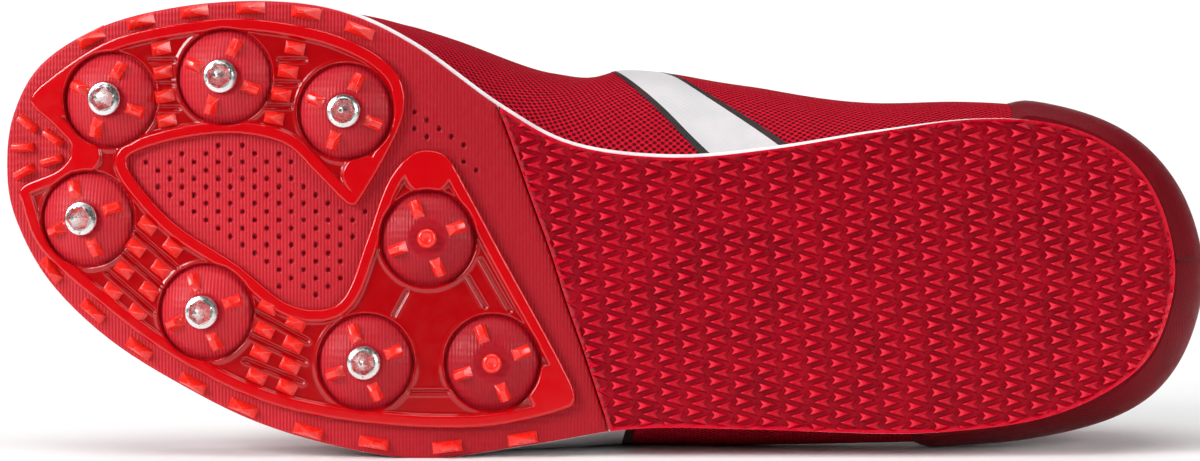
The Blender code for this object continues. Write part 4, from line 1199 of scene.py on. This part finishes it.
class MakeBands(bpy.types.Operator):
    """A plain pale band with dark borders on each side of the upper"""

    bl_idname = "spike_shoe.make_bands"
    bl_label = "Side bands"

    def execute(self, context):
        border = BAND_BORDER * MM
        white = plain_film_finish("band_film", colours().band, colours().foam_tint)
        dark = plain_film_finish("border_film", colours().band_border, colours().mesh_hole)
        for name, band in SIDE_BANDS.items():
            climbs = np.linspace(*band.climb, 70)
            rise_share = np.linspace(0.0, 1.0, 70)[:, None]
            front = band.foot_front + (band.top_front - band.foot_front) * rise_share
            back = band.foot_back + (band.top_back - band.foot_back) * rise_share
            across = np.concatenate([[0.0, 0.5], np.linspace(1.0, 2.0, 24), [2.5, 3.0]])
            run = np.linalg.norm(edge_points(band.foot_front) - edge_points(band.foot_back))
            per_turn = run / abs(band.foot_front - band.foot_back)
            margin = border / per_turn * np.sign(band.foot_front - band.foot_back)
            turns = back + (front - back) * np.clip(across - 1.0, 0.0, 1.0)
            turns = turns - margin * np.clip(1.0 - across, 0.0, 1.0)
            turns = turns + margin * np.clip(across - 2.0, 0.0, 1.0)
            climb_grid = np.repeat(climbs[:, None], len(across), axis=1)
            points = upper_points(turns.ravel(), climb_grid.ravel(), 0.12 * MM)
            quads = grid_faces(len(climbs), len(across))
            if band.foot_front < band.foot_back:
                quads = quads[:, ::-1]
            column = np.tile(np.arange(len(across) - 1), len(climbs) - 1)
            mesh = mesh_of(name, points, quads, weave=cloth_places(turns.ravel(), climb_grid.ravel()))
            edge = (column < 2) | (column > len(across) - 4)
            mesh.polygons.foreach_set("material_index", edge.astype(np.int32))
            add_piece(mesh, [white, dark])
        return {"FINISHED"}


class MakeBinding(bpy.types.Operator):
    """The rolled binding round the collar"""

    bl_idname = "spike_shoe.make_binding"
    bl_label = "Collar binding"

    def execute(self, context):
        turns = np.linspace(INNER_SIDE.top - TURNS + 0.05, OUTER_SIDE.top - 0.05, 180)
        path = upper_points(turns, 1.0, -UPPER_WALL / 2)
        mesh = tube("collar_binding", path, sizes().binding_radius, sizes().binding_radius, 14)
        cloth = cloth_finish("binding_cloth", colours().film_light, colours().film)
        add_piece(mesh, cloth, smooth=80)
        return {"FINISHED"}


def tube(name, path, wide, thick, sides, facing=None):
    """A closed tube along points: wide beside its path and thick along what it faces."""
    path = np.asarray(path)
    tangent = np.gradient(path, axis=0)
    tangent /= np.linalg.norm(tangent, axis=1)[:, None]
    up = np.tile((0.0, 0.0, 1.0), (len(path), 1)) if facing is None else np.asarray(facing)
    side = np.cross(tangent, up)
    side /= np.linalg.norm(side, axis=1)[:, None]
    up = np.cross(side, tangent)
    rings = []
    ends = [(0, 0.35), (0, 0.8)] + [(index, 1.0) for index in range(len(path))]
    ends += [(len(path) - 1, 0.8), (len(path) - 1, 0.35)]
    for order, (index, share) in enumerate(ends):
        centre = path[index].copy()
        outward = (-1 if order < 2 else 1 if order > len(ends) - 3 else 0) * thick
        centre += tangent[index] * outward * (1.0 - share)
        for angle in np.arange(sides) * math.tau / sides:
            off = side[index] * wide * math.cos(angle) + up[index] * thick * math.sin(angle)
            rings.append(centre + off * share)
    faces = grid_faces(len(ends), sides, True)[:, ::-1].tolist()
    last = (len(ends) - 1) * sides
    faces.append(list(range(sides)))
    faces.append(list(range(last + sides - 1, last - 1, -1)))
    return mesh_of(name, rings, faces)


class MakeTongue(bpy.types.Operator):
    """The padded tongue, with its free tip above the collar"""

    bl_idname = "spike_shoe.make_tongue"
    bl_label = "Tongue"

    def execute(self, context):
        rows = [self.row(share) for share in spaced(0.0, 1.0, 34)]
        top, halfway = rows[-1], rows[len(rows) // 2]
        middle = top[len(top) // 2]
        onward = middle - halfway[len(halfway) // 2]
        onward /= np.linalg.norm(onward)
        for share in spaced(0.04, 1.0, 16):
            narrowed = smooth_rows(TONGUE_TIP, share)[0, 0]
            moved = middle + onward * (share * TONGUE_TIP_LENGTH)
            rows.append(moved + (top - middle) * narrowed)
        count = len(rows[0])
        mesh = mesh_of("tongue_pad", np.concatenate(rows), grid_faces(len(rows), count))
        cloth = cloth_finish("tongue_cloth", colours().lining, colours().lining_dark, 0.0012)
        piece = add_piece(mesh, cloth, ["tongue"], 80)
        wall = piece.modifiers.new("padding", "SOLIDIFY")
        wall.thickness = TONGUE_THICKNESS
        wall.offset = -1.0
        rounded = piece.modifiers.new("rounded", "SUBSURF")
        rounded.levels = 1
        rounded.render_levels = 1
        return {"FINISHED"}

    def row(self, share):
        lift = -(UPPER_WALL + TONGUE_GAP)
        edge = TONGUE_CLIMB + (EYELET_CLIMB - TONGUE_CLIMB) * TONGUE_TAPER * share
        climbs = np.linspace(edge, EYELET_CLIMB, 6)[:-1]
        outer = upper_points(throat_turn(OUTER_SIDE, share), climbs, lift)
        inner = upper_points(throat_turn(INNER_SIDE, share), climbs[::-1], lift)
        arch = throat_arch(share, np.linspace(0.0, 1.0, 21), lift, TONGUE_CROWN)
        return np.concatenate([outer, arch, inner])


class MakeLaces(bpy.types.Operator):
    """Flat laces that cross over the tongue and go down through the eyelets"""

    bl_idname = "spike_shoe.make_laces"
    bl_label = "Laces"

    def execute(self, context):
        shares = eyelet_shares()
        cloth = cloth_finish("lace_cloth", colours().lace, colours().lace_dark, 0.0006)
        bars = [self.bar("lace_bar_0", shares[0], shares[0], False, 0.0)]
        for index, (share, after) in enumerate(zip(shares, shares[1:])):
            for mirrored in (False, True):
                over = LACE_RADIUS if mirrored == (index % 2 == 0) else -0.35 * LACE_RADIUS
                name = f"lace_bar_{2 * index + 1 + mirrored}"
                bars.append(self.bar(name, share, after, mirrored, over))
        for mesh in bars:
            add_piece(mesh, cloth, ["laces"], smooth=80)
        return {"FINISHED"}

    def bar(self, name, share, after, mirrored, over):
        """One bar, from inside one eyelet over the tongue to inside the next across."""
        lift = 2 * CLEARANCE + OVERLAY_WALL + 1.1 * LACE_RADIUS
        steps = np.linspace(0.0, 1.0, 25)
        shares = share + (after - share) * steps
        across = 1.0 - steps if mirrored else steps
        arch = throat_arch(shares, across, lift, LACE_CROWN)
        up = arch - throat_arch(shares, across, 0.0, LACE_CROWN)
        up /= np.linalg.norm(up, axis=1)[:, None]
        crossing = np.exp(-(((steps - 0.5) / 0.17) ** 2))
        arch += up * (over * crossing)[:, None]
        drops = np.array((1.0, 0.7, 0.35))[:, None] * (lift + UPPER_WALL + 1.5 * MM)
        path = np.concatenate([arch[0] - up[0] * drops, arch, arch[-1] - up[-1] * drops[::-1]])
        first = self.lean(up[0], arch[0] - arch[1])
        last = self.lean(up[-1], arch[-1] - arch[-2])
        facing = np.concatenate([[first] * len(drops), up, [last] * len(drops)])
        wide = sizes().lace_width / 2
        return tube(name, self.relaxed(path), wide, 0.42 * wide, 12, facing)

    def lean(self, up, away):
        """The way that a lace faces as it goes down into its hole."""
        return away / np.linalg.norm(away) * 0.9 + up * 0.1

    def relaxed(self, path):
        """The path with its corners rounded."""
        path = np.array(path)
        for _ in range(2):
            path[1:-1] = path[1:-1] * 0.5 + (path[:-2] + path[2:]) * 0.25
        return path


class MakeInsole(bpy.types.Operator):
    """The cloth-covered insole, cupped a little at its edge"""

    bl_idname = "spike_shoe.make_insole"
    bl_label = "Insole"

    def execute(self, context):
        samples = 8
        loops = []
        inset = UPPER_INSET + UPPER_WALL + INSOLE_MARGIN
        for drawn_in, height, cup in INSOLE_RINGS:
            flat = edge_loop(-inset - drawn_in * MM, samples)
            z = feather(flat[:, 0]) + CLEARANCE + INSOLE_THICKNESS * height + cup * MM
            loops.append(np.column_stack([flat, z]))
        loops.append(self.spine(loops[-1]))
        faces = grid_faces(len(loops), len(loops[0]), True)
        mesh = mesh_of("insole_pad", np.concatenate(loops), faces)
        cloth = cloth_finish("insole_cloth", colours().lining_dark, colours().film, 0.0009)
        add_piece(mesh, cloth, ["insole"], 60)
        return {"FINISHED"}

    def spine(self, loop):
        """The loop drawn in to the middle line of the foot."""
        drawn = loop.copy()
        for index, (x, _, _) in enumerate(loop):
            near = np.abs(loop[:, 0] - x) < 4 * MM
            drawn[index, 1] = 0.5 * (loop[near, 1].max() + loop[near, 1].min())
        low, high = loop[:, 0].min() + 10 * MM, loop[:, 0].max() - 10 * MM
        drawn[:, 0] = np.clip(drawn[:, 0], low, high)
        drawn[:, 2] = feather(drawn[:, 0]) + CLEARANCE + INSOLE_THICKNESS
        return drawn


class MakeMidsole(bpy.types.Operator):
    """The pale foam between the outsole and the upper, with rounded sides"""

    bl_idname = "spike_shoe.make_midsole"
    bl_label = "Midsole"

    def execute(self, context):
        samples = 8
        turns = np.arange(TURNS * samples) / samples
        out = MIDSOLE_PROUD * np.clip(smooth_rows(MIDSOLE_LEDGE, turns, TURNS)[:, 0], 0.0, None)
        loops = []
        for bulge, height in MIDSOLE_PROFILE:
            flat = edge_loop(out + bulge * MM, samples)
            low = rise(flat[:, 0]) + OUTSOLE_THICKNESS
            z = low + (feather(flat[:, 0]) - low) * height
            loops.append(np.column_stack([flat, z]))
        mesh = mesh_of("midsole_foam", np.concatenate(loops), grid_faces(len(loops), len(turns), True))
        add_piece(mesh, foam_finish(colours()), ["midsole"], 60)
        return {"FINISHED"}


class MakeHeelTread(bpy.types.Operator):
    """The heel rubber: interlocking arrow teeth on a sheet with a thin lip"""

    bl_idname = "spike_shoe.make_heel_tread"
    bl_label = "Heel tread"

    def execute(self, context):
        loop = edge_loop(0.0, 6)
        gap = CLEARANCE / 2

        def inside(points):
            behind_seam = points[:, 0] - seam_x(points[:, 1]) - gap
            return np.minimum(inside_loop(points, loop), behind_seam)

        def height(points):
            depth = inside(points) / MM
            level = np.interp(depth, (0.0, 0.12, 0.4, 0.9), (-0.25, -0.1, -0.12, -TREAD_DEPTH)) * MM
            # Painted light: the shade falls to 0 on the groove floor for painted shade, and stays high on the
            # thin lip at the edge, which takes part of the painted tip highlight
            return level, np.interp(depth, (0.0, 0.4, 0.9), (0.85, 0.7, 0.0))

        box = ((0.40 * SOLE_LENGTH, 1.02 * SOLE_LENGTH), (-0.40 * BALL_WIDTH, 0.56 * BALL_WIDTH))
        mesh = relief("heel_rubber", (0.6 * MM, 0.6 * MM), inside, height, -OUTSOLE_THICKNESS, box)
        finish = rubber_finish(colours())
        add_piece(mesh, finish, ["heel_outsole"])
        teeth = self.teeth(inside)
        add_piece(teeth, finish, ["heel_outsole"], 30)
        return {"FINISHED"}

    def teeth(self, inside):
        """All the teeth as one mesh, drawn in to the rubber's edge where they reach over it."""
        columns, rows = np.meshgrid(np.arange(*TREAD_COLUMNS), np.arange(*TREAD_ROWS), indexing="ij")
        places = np.zeros((columns.size, 1, 1, 3))
        for axis in range(2):
            shift = columns * TREAD_COLUMN[axis] + rows * TREAD_ROW[axis]
            places[:, 0, 0, axis] = TREAD_START[axis] + shift.ravel()
        forms = [
            [(*corner, 0.0) for corner in tooth.foot] + list(tooth.top)
            for tooth in (ARROW_TOOTH, CHEVRON_TOOTH)
        ]
        teeth = (places + np.array(forms)).reshape(-1, 8, 3)
        depth = self.depth(teeth.reshape(-1, 3), inside).reshape(-1, 8)
        teeth = teeth[(depth[:, 4:].max(axis=1) > 0.3) & (depth.mean(axis=1) > -0.6)]
        points = self.drawn_in(teeth.reshape(-1, 3), inside)
        random = np.random.default_rng(7)
        ragged = np.clip(1.4 - self.depth(points, inside), 0.0, 1.0) * random.random(len(points))
        points[:, 2] *= 1.0 - 0.45 * ragged
        level = (points[:, 2] - TREAD_DEPTH - 0.02) * MM
        # Painted light: the shade follows each tooth's height, giving a painted highlight on the tips and
        # painted shade down towards the groove floor
        shade = points[:, 2] / TREAD_DEPTH
        points[:, :2] *= MM
        points[:, 2] = rise(points[:, 0]) - level
        sides = np.array([(side, (side + 1) % 4, (side + 1) % 4 + 4, side + 4) for side in range(4)])
        tops = np.array([(4, 5, 7), (5, 6, 7)])
        first = 8 * np.arange(len(teeth))[:, None, None]
        faces = (first + sides).reshape(-1, 4).tolist() + (first + tops).reshape(-1, 3).tolist()
        return self.rounded(mesh_of("heel_teeth", points, faces, shade))

    def depth(self, points, inside):
        return inside(points[:, :2] * MM) / MM

    def drawn_in(self, points, inside):
        """The points in millimetres, with those that lie over the edge moved back onto it."""
        points = points.copy()
        for _ in range(2):
            depth = self.depth(points, inside)
            over = depth < 0.12
            slope = inward(inside, points[over, :2] * MM)
            points[over, :2] += slope * (0.14 - depth[over])[:, None]
        return points

    def rounded(self, mesh):
        """The teeth with their upper edges rounded."""
        work = bmesh.new()
        work.from_mesh(mesh)
        bmesh.ops.recalc_face_normals(work, faces=work.faces)
        shade = work.verts.layers.float["shade"]
        edges = [edge for edge in work.edges if min(vert[shade] for vert in edge.verts) > 0.05]
        bmesh.ops.bevel(
            work, geom=edges, offset=0.09 * MM, segments=1, affect="EDGES", clamp_overlap=True
        )
        work.to_mesh(mesh)
        work.free()
        return mesh


def claw_opening():
    return POD_RADIUS + CLEARANCE


def pod_gaps(points):
    """How far each level point lies from the nearest pod's centre."""
    centres = [level_point(pod) for pod in PODS]
    return np.min([np.linalg.norm(points - centre, axis=1) for centre in centres], axis=0)


def pod_dome(far):
    """A pod's height at a distance from its middle: a round side up to the pin's flat seat."""
    low = (POD_SEAT_RADIUS**2 + POD_HEIGHT**2 - POD_RADIUS**2) / (2 * POD_HEIGHT)
    ball = POD_RADIUS**2 + low**2
    return low + np.sqrt(ball - np.clip(far, POD_SEAT_RADIUS, POD_RADIUS) ** 2)


def ribs_at(points):
    """The plate's fine ribs: their height, from 0 to 1."""
    return 0.5 + 0.5 * np.cos(points[:, 0] * math.tau / sizes().rib_pitch)


class MakePlate(bpy.types.Operator):
    """The ribbed forefoot plate with its perforations"""

    bl_idname = "spike_shoe.make_plate"
    bl_label = "Forefoot plate"

    def execute(self, context):
        sole = edge_loop(0.0, 6)
        claw = claw_loop(4)
        gap = CLEARANCE / 2

        def inside(points):
            before_seam = seam_x(points[:, 1]) - gap - points[:, 0]
            return np.minimum(inside_loop(points, sole), before_seam)

        def shown(points):
            under = inside_loop(points, claw) - 0.9 * MM
            return np.minimum(inside(points), np.maximum(-under, 0.02 * MM - 1.0 * (under > 0)))

        def height(points):
            near_edge = inside(points) / MM
            rounding = np.interp(near_edge, (0.0, 0.15, 0.5), (-0.35, -0.08, 0.0)) * MM
            ribs = ribs_at(points)
            pits = self.pits(points, claw, inside)
            level = -PLATE_RECESS + rounding - sizes().rib_depth * (1.0 - ribs)
            # Painted light: the shade is high on the rib tops and lower between them, and falls towards 0 in
            # the perforations for painted shade
            shade = (0.45 + 0.55 * ribs) * (1.0 - pits)
            return level - sizes().pit_depth * pits, shade

        step = (sizes().rib_pitch / 4, 0.4 * MM)
        box = ((-0.4 * MM, 0.54 * SOLE_LENGTH), (-0.56 * BALL_WIDTH, 0.54 * BALL_WIDTH))
        mesh = relief("plate_ribs", step, shown, height, -OUTSOLE_THICKNESS, box)
        add_piece(mesh, plate_finish(colours()), ["spike_plate"])
        return {"FINISHED"}

    def pits(self, points, claw, inside):
        """1 in a perforation and 0 outside, on a staggered lattice in the window and by the seam."""
        cell = np.array((PIT_CELL[0] * MM, PIT_CELL[1] * MM))
        origin = np.array((PIT_ORIGIN[0] * MM, PIT_ORIGIN[1] * MM))
        found = np.zeros(len(points))
        for shift in (0.0, 0.5):
            number = np.round((points - origin) / cell + shift)
            numbers, which = np.unique(number, axis=0, return_inverse=True)
            middles = (numbers - shift) * cell + origin
            made = self.perforated(middles, claw, inside)[which.ravel()]
            far = np.linalg.norm(points - middles[which.ravel()], axis=1)
            hole = np.clip((sizes().pit_radius + 0.12 * MM - far) / (0.24 * MM), 0.0, 1.0)
            found = np.maximum(found, hole * made)
        return found

    def perforated(self, middles, claw, inside):
        """Whether there is a perforation at each of these places."""
        from_edge = inside(middles) / MM
        from_claw = -inside_loop(middles, claw) / MM
        from_seam = (seam_x(middles[:, 1]) - middles[:, 0]) / MM
        before = middles[:, 0] < WINDOW_END * SOLE_LENGTH
        behind = middles[:, 0] > WINDOW_END * SOLE_LENGTH
        window = before & (from_edge > WINDOW_MARGIN)
        band = behind & (from_edge > BAND_MARGIN) & (from_seam > SEAM_MARGIN)
        return (from_claw > CLAW_MARGIN) & (window | band)


class MakePods(bpy.types.Operator):
    """The ribbed domes that carry the pins"""

    bl_idname = "spike_shoe.make_pods"
    bl_label = "Spike pods"

    def execute(self, context):
        finish = plate_finish(colours())
        for index, pod in enumerate(PODS):
            centre = level_point(pod)
            reach = POD_RADIUS + MOAT_WIDTH + 0.4 * MM
            box = ((centre[0] - reach, centre[0] + reach), (centre[1] - reach, centre[1] + reach))

            def inside(points):
                return POD_RADIUS + MOAT_WIDTH - np.linalg.norm(points - centre, axis=1)

            def height(points):
                far = np.linalg.norm(points - centre, axis=1)
                ribs = ribs_at(points) * np.clip((far - FLANGE_RADIUS) / MM, 0.0, 1.0)
                level = pod_dome(far) - sizes().rib_depth * (1.0 - ribs) - PLATE_RECESS
                # Painted light: the shade is high on the dome's rib tops for a painted highlight, and
                # darkened in the moat round the dome's foot for painted shade
                painted_moat_shade = np.clip((far - POD_RADIUS) / (0.3 * MM) + 1.0, 0.0, 1.0)
                return level, (0.45 + 0.55 * ribs) * (1.0 - 0.6 * painted_moat_shade)

            step = (sizes().rib_pitch / 4, 0.45 * MM)
            mesh = relief(f"pod_dome_{index}", step, inside, height, -PLATE_RECESS - 0.5 * MM, box)
            add_piece(mesh, finish, ["spike_plate"], 60)
        return {"FINISHED"}


class MakePlateStuds(bpy.types.Operator):
    """The fins and nubs on the pods, the studs along the edge and the bars at the toe"""

    bl_idname = "spike_shoe.make_plate_studs"
    bl_label = "Plate studs"

    def execute(self, context):
        fin = wedge_shape(FIN, 1.2 * MM)
        foot = pod_dome(FIN_REACH)
        lean = 0.85 * math.atan2(pod_dome(FIN_REACH - MM) - pod_dome(FIN_REACH + MM), 2 * MM)
        fins, nubs = [], []
        nub_rows = [(radius * NUB_RADIUS, height * NUB_HEIGHT) for radius, height in NUB_PROFILE]
        nub = turned_shape(nub_rows, 32)
        for pod in PODS:
            place = seat(pod.along, pod.across, -PLATE_RECESS)
            for number in range(FINS_PER_POD):
                turn = math.radians(pod.fin_turn) + math.tau * number / FINS_PER_POD
                around = Matrix.Rotation(turn, 4, "Z") @ Matrix.Translation((FIN_REACH, 0.0, foot))
                fins.append((*fin, place @ around @ Matrix.Rotation(lean, 4, "Y")))
            if not pod.pinned:
                nubs.append((*nub, place @ Matrix.Translation((0.0, 0.0, POD_HEIGHT - 0.1 * MM))))
        finish = stud_finish(colours())
        add_piece(joined("pod_fins", fins), finish, ["spike_plate"], 50)
        add_piece(joined("pod_nubs", nubs), finish, ["spike_plate"], 50)
        stud = wedge_shape(EDGE_STUD)
        studs = [(*stud, seat(*point, -PLATE_RECESS, edge_tangent(point))) for point in EDGE_STUDS]
        add_piece(joined("edge_studs", studs), finish, ["spike_plate"], 50)
        bar = wedge_shape(TOE_BAR)
        bars = [
            (*bar, seat(one.along, one.across, -PLATE_RECESS, math.radians(one.turn)))
            for one in TOE_BARS
        ]
        add_piece(joined("toe_bars", bars), finish, ["spike_plate"], 50)
        return {"FINISHED"}


class MakeClaw(bpy.types.Operator):
    """The glossy traction frame: raised rims, sunk channels, grooves and openings for the pods"""

    bl_idname = "spike_shoe.make_claw"
    bl_label = "Traction frame"

    def execute(self, context):
        loop = claw_loop(6)
        opening = claw_opening()
        grooves = self.stud_grooves() + [self.ends(groove) for groove in LOBE_GROOVES]
        channel = (FRAME_PROUD - sizes().channel_depth) / MM
        rim = sizes().rim_width / MM

        def inside(points):
            return np.minimum(inside_loop(points, loop), pod_gaps(points) - opening)

        def height(points):
            edge = inside_loop(points, loop) / MM
            lip = (pod_gaps(points) - opening) / MM
            proud = FRAME_PROUD / MM
            full = np.interp(edge, (rim, rim + 0.65), (1.0, 0.0))
            for solid in CLAW_SOLIDS:
                off = np.linalg.norm(points - level_point(solid), axis=1) / MM - solid.radius
                full = np.maximum(full, np.interp(off, (-0.3, 0.5), (1.0, 0.0)))
            ring = np.interp(lip, (0.0, 0.5, 0.9, 1.3), (0.3, 0.3, 0.2, 0.0))
            level = channel + (proud - channel) * np.maximum(full, ring)
            level += np.interp(edge, (0.0, 0.12, 0.35), (-0.45, -0.1, 0.0))
            level += np.interp(lip, (0.0, 0.08, 0.2, 0.42), (-0.75, -0.38, -0.14, 0.0))
            for first, last in grooves:
                near = distance_to_line(points, first, last) / MM
                level += np.interp(near, (0.0, 0.3, 0.62, 0.8, 1.05), (-0.55, -0.5, 0.1, 0.12, 0.0))
            # Painted shade: the shade follows the height, low in the channels and grooves and high on the
            # rims
            shade = np.clip((level - channel) / (proud - channel), 0.0, 1.0)
            return level * MM, shade

        box = ((0.005 * SOLE_LENGTH, 0.50 * SOLE_LENGTH), (-0.51 * BALL_WIDTH, 0.45 * BALL_WIDTH))
        step = (0.3 * MM, 0.3 * MM)
        mesh = relief("claw_frame", step, inside, height, -PLATE_RECESS - 0.3 * MM, box)
        add_piece(mesh, gloss_finish(colours()), ["traction_frame"], 75)
        stud = wedge_shape(CLAW_STUD)
        foot = FRAME_PROUD - sizes().channel_depth
        places = [place for row in STUD_ROWS for place in self.row_places(row, foot)]
        mesh = joined("claw_studs", [(*stud, place) for place in places])
        add_piece(mesh, stud_finish(colours()), ["traction_frame"], 50)
        return {"FINISHED"}

    def ends(self, groove):
        first = np.array((groove.along * SOLE_LENGTH, groove.across * BALL_WIDTH))
        last = np.array((groove.last_along * SOLE_LENGTH, groove.last_across * BALL_WIDTH))
        return first, last

    def between(self, row, share):
        first, last = self.ends(row)
        return first + (last - first) * share

    def stud_grooves(self):
        """The grooves between the studs: short in a single row, long over a pair of rows."""
        found = []
        gaps = [(number + 0.5) / (STUDS_PER_ROW - 1) for number in range(STUDS_PER_ROW - 1)]
        for row in STUD_ROWS[:2]:
            for share in gaps:
                middle = self.between(row, share)
                reach = np.array((3.1 * MM, 0.0))
                found.append((middle - reach, middle + reach))
        for front, back in (STUD_ROWS[2:4], STUD_ROWS[4:6]):
            for share in gaps:
                first, last = self.between(front, share), self.between(back, share)
                reach = (last - first) / np.linalg.norm(last - first) * 3.4 * MM
                found.append((first - reach, last + reach))
        return found

    def row_places(self, row, height):
        first, last = self.ends(row)
        places = []
        for share in spaced(0.0, 1.0, STUDS_PER_ROW):
            x, y = first + (last - first) * share
            turn = math.radians(row.stud_turn)
            places.append(seat(x / SOLE_LENGTH, y / BALL_WIDTH, height, turn))
        return places


class MakePins(bpy.types.Operator):
    """The steel pins with their round flanges"""

    bl_idname = "spike_shoe.make_pins"
    bl_label = "Steel pins"

    def execute(self, context):
        finish = steel_finish(colours())
        flange = turned_shape(self.flange_profile(), 48)
        pin = turned_shape(self.pin_profile(), 6)
        foot = POD_HEIGHT + CLEARANCE - PLATE_RECESS
        for index, pod in enumerate([pod for pod in PODS if pod.pinned], 1):
            place = seat(pod.along, pod.across, foot, math.radians(17 * index))
            mesh = joined(f"pin_{index}", [(*flange, place), (*pin, place)])
            add_piece(mesh, finish, [f"spike_{index}"], 25)
        return {"FINISHED"}

    def flange_profile(self):
        """The flange, with a chamfer and a step up to the pin."""
        radius, thick = FLANGE_RADIUS, FLANGE_THICKNESS
        return [
            (0.75 * radius, 0.0), (0.95 * radius, 0.0), (radius, 0.12 * thick), (radius, 0.62 * thick),
            (0.97 * radius, 0.78 * thick), (0.86 * radius, 0.86 * thick), (0.80 * radius, thick),
            (0.73 * radius, 1.1 * thick), (0.62 * radius, 1.1 * thick),
        ]

    def pin_profile(self):
        """The pin: a faceted shank, a long taper and a blunt tip."""
        top = FLANGE_THICKNESS + PIN_LENGTH
        return [
            (1.08 * PIN_RADIUS, 0.9 * FLANGE_THICKNESS),
            (1.08 * PIN_RADIUS, FLANGE_THICKNESS + 0.20 * PIN_LENGTH),
            (1.00 * PIN_RADIUS, FLANGE_THICKNESS + 0.27 * PIN_LENGTH),
            (1.2 * PIN_TIP_RADIUS, top - 0.3 * MM),
            (0.6 * PIN_TIP_RADIUS, top),
        ]


class MakeStage(bpy.types.Operator):
    """The pale floor, the soft studio light and the camera"""

    bl_idname = "spike_shoe.make_stage"
    bl_label = "Stage"

    def execute(self, context):
        context.scene.view_settings.view_transform = "Standard"
        self.make_floor()
        self.make_lights()
        self.make_camera()
        return {"FINISHED"}

    def make_floor(self):
        """A floor that sweeps up into a backdrop."""
        bend = BACKDROP_BEND
        profile = [(FLOOR_FRONT, 0.0), (FLOOR_BACK, 0.0)]
        for angle in spaced(0.0, math.pi / 2, 17)[1:]:
            profile.append((FLOOR_BACK + bend * math.sin(angle), bend - bend * math.cos(angle)))
        profile.append((FLOOR_BACK + bend, BACKDROP_TOP))
        sides = (-FLOOR_HALF_WIDTH, FLOOR_HALF_WIDTH)
        points = [(x, y, z) for y, z in profile for x in sides]
        mesh = mesh_of("studio_floor", points, grid_faces(len(profile), 2))
        painter = Painter("floor_paint", colours().floor, 0.7)
        speck = painter.ranged(painter.noise(6.0), 0.3, 0.7, 0.0, 0.25)
        pale = painter.mix(speck, colours().floor, (0.90, 0.90, 0.90))
        near = painter.ranged(painter.axis("Y"), *DARK_FLOOR)
        painter.colour(painter.mix(near, (0.24, 0.24, 0.24), pale))
        floor = bpy.data.objects.new("studio_floor", mesh)
        bpy.context.scene.collection.objects.link(floor)
        mesh.materials.append(painter.material)
        mesh.shade_smooth()

    def make_lights(self):
        world = bpy.data.worlds.new("studio_air")
        world.use_nodes = True
        air = world.node_tree.nodes["Background"]
        air.inputs["Color"].default_value = (1.0, 1.0, 1.0, 1.0)
        air.inputs["Strength"].default_value = AIR_STRENGTH
        bpy.context.scene.world = world
        for box in SOFTBOXES:
            light = bpy.data.lights.new(box.name, "AREA")
            light.shape = "RECTANGLE"
            light.size, light.size_y = box.size
            light.energy = box.power
            lamp = bpy.data.objects.new(box.name, light)
            lamp.location = box.position
            aim = Vector(box.target) - Vector(box.position)
            lamp.rotation_euler = aim.to_track_quat("-Z", "Y").to_euler()
            bpy.context.scene.collection.objects.link(lamp)

    def make_camera(self):
        """The camera looks straight at the sole, and the sole's ends lie where the photo has them."""
        before, behind = PHOTO_WIDTH / 2 - TOE_PIXEL, HEEL_PIXEL - PHOTO_WIDTH / 2
        toe_distance = CAMERA_DISTANCE + TOE_SPRING
        zoom = (before * toe_distance + behind * CAMERA_DISTANCE) / SOLE_LENGTH
        along = before * toe_distance / zoom
        across = (PHOTO_HEIGHT / 2 - MIDDLE_PIXEL) * CAMERA_DISTANCE / zoom
        place = lying_place()
        camera = bpy.data.cameras.new("photo_camera")
        camera.sensor_width = SENSOR_WIDTH
        camera.lens = SENSOR_WIDTH * zoom / PHOTO_WIDTH
        view = bpy.data.objects.new("photo_camera", camera)
        facing = place @ Matrix.Translation((along, across, 0.0)) @ Matrix.Rotation(math.pi, 4, "X")
        view.matrix_world = facing @ Matrix.Translation((0.0, 0.0, CAMERA_DISTANCE))
        bpy.context.scene.collection.objects.link(view)
        bpy.context.scene.camera = view


PIECES = (
    MakeUpper, MakeCounter, MakeEyestay, MakeBands, MakeBinding, MakeTongue, MakeLaces,
    MakeInsole, MakeMidsole, MakeHeelTread, MakePlate, MakePods, MakePlateStuds, MakeClaw,
    MakePins, MakeStage,
)


class SpikeShoePanel(bpy.types.Panel):
    """Lists the shoe's pieces in the sidebar"""

    bl_idname = "VIEW3D_PT_spike_shoe"
    bl_label = "Spike shoe"
    bl_space_type = "VIEW_3D"
    bl_region_type = "UI"
    bl_category = "Spike shoe"

    def draw(self, context):
        for piece in PIECES:
            self.layout.operator(piece.bl_idname)


CLASSES = (ShoeColours, ShoeSizes, *PIECES, SpikeShoePanel)


def register():
    for one in CLASSES:
        bpy.utils.register_class(one)
    bpy.types.Scene.spike_shoe_colours = bpy.props.PointerProperty(type=ShoeColours)
    bpy.types.Scene.spike_shoe_sizes = bpy.props.PointerProperty(type=ShoeSizes)


def unregister():
    del bpy.types.Scene.spike_shoe_sizes
    del bpy.types.Scene.spike_shoe_colours
    for one in reversed(CLASSES):
        bpy.utils.unregister_class(one)


def main():
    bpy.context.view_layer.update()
    register()
    for piece in PIECES:
        getattr(bpy.ops.spike_shoe, piece.bl_idname.split(".")[1])()


if __name__ == "__main__":
    main()
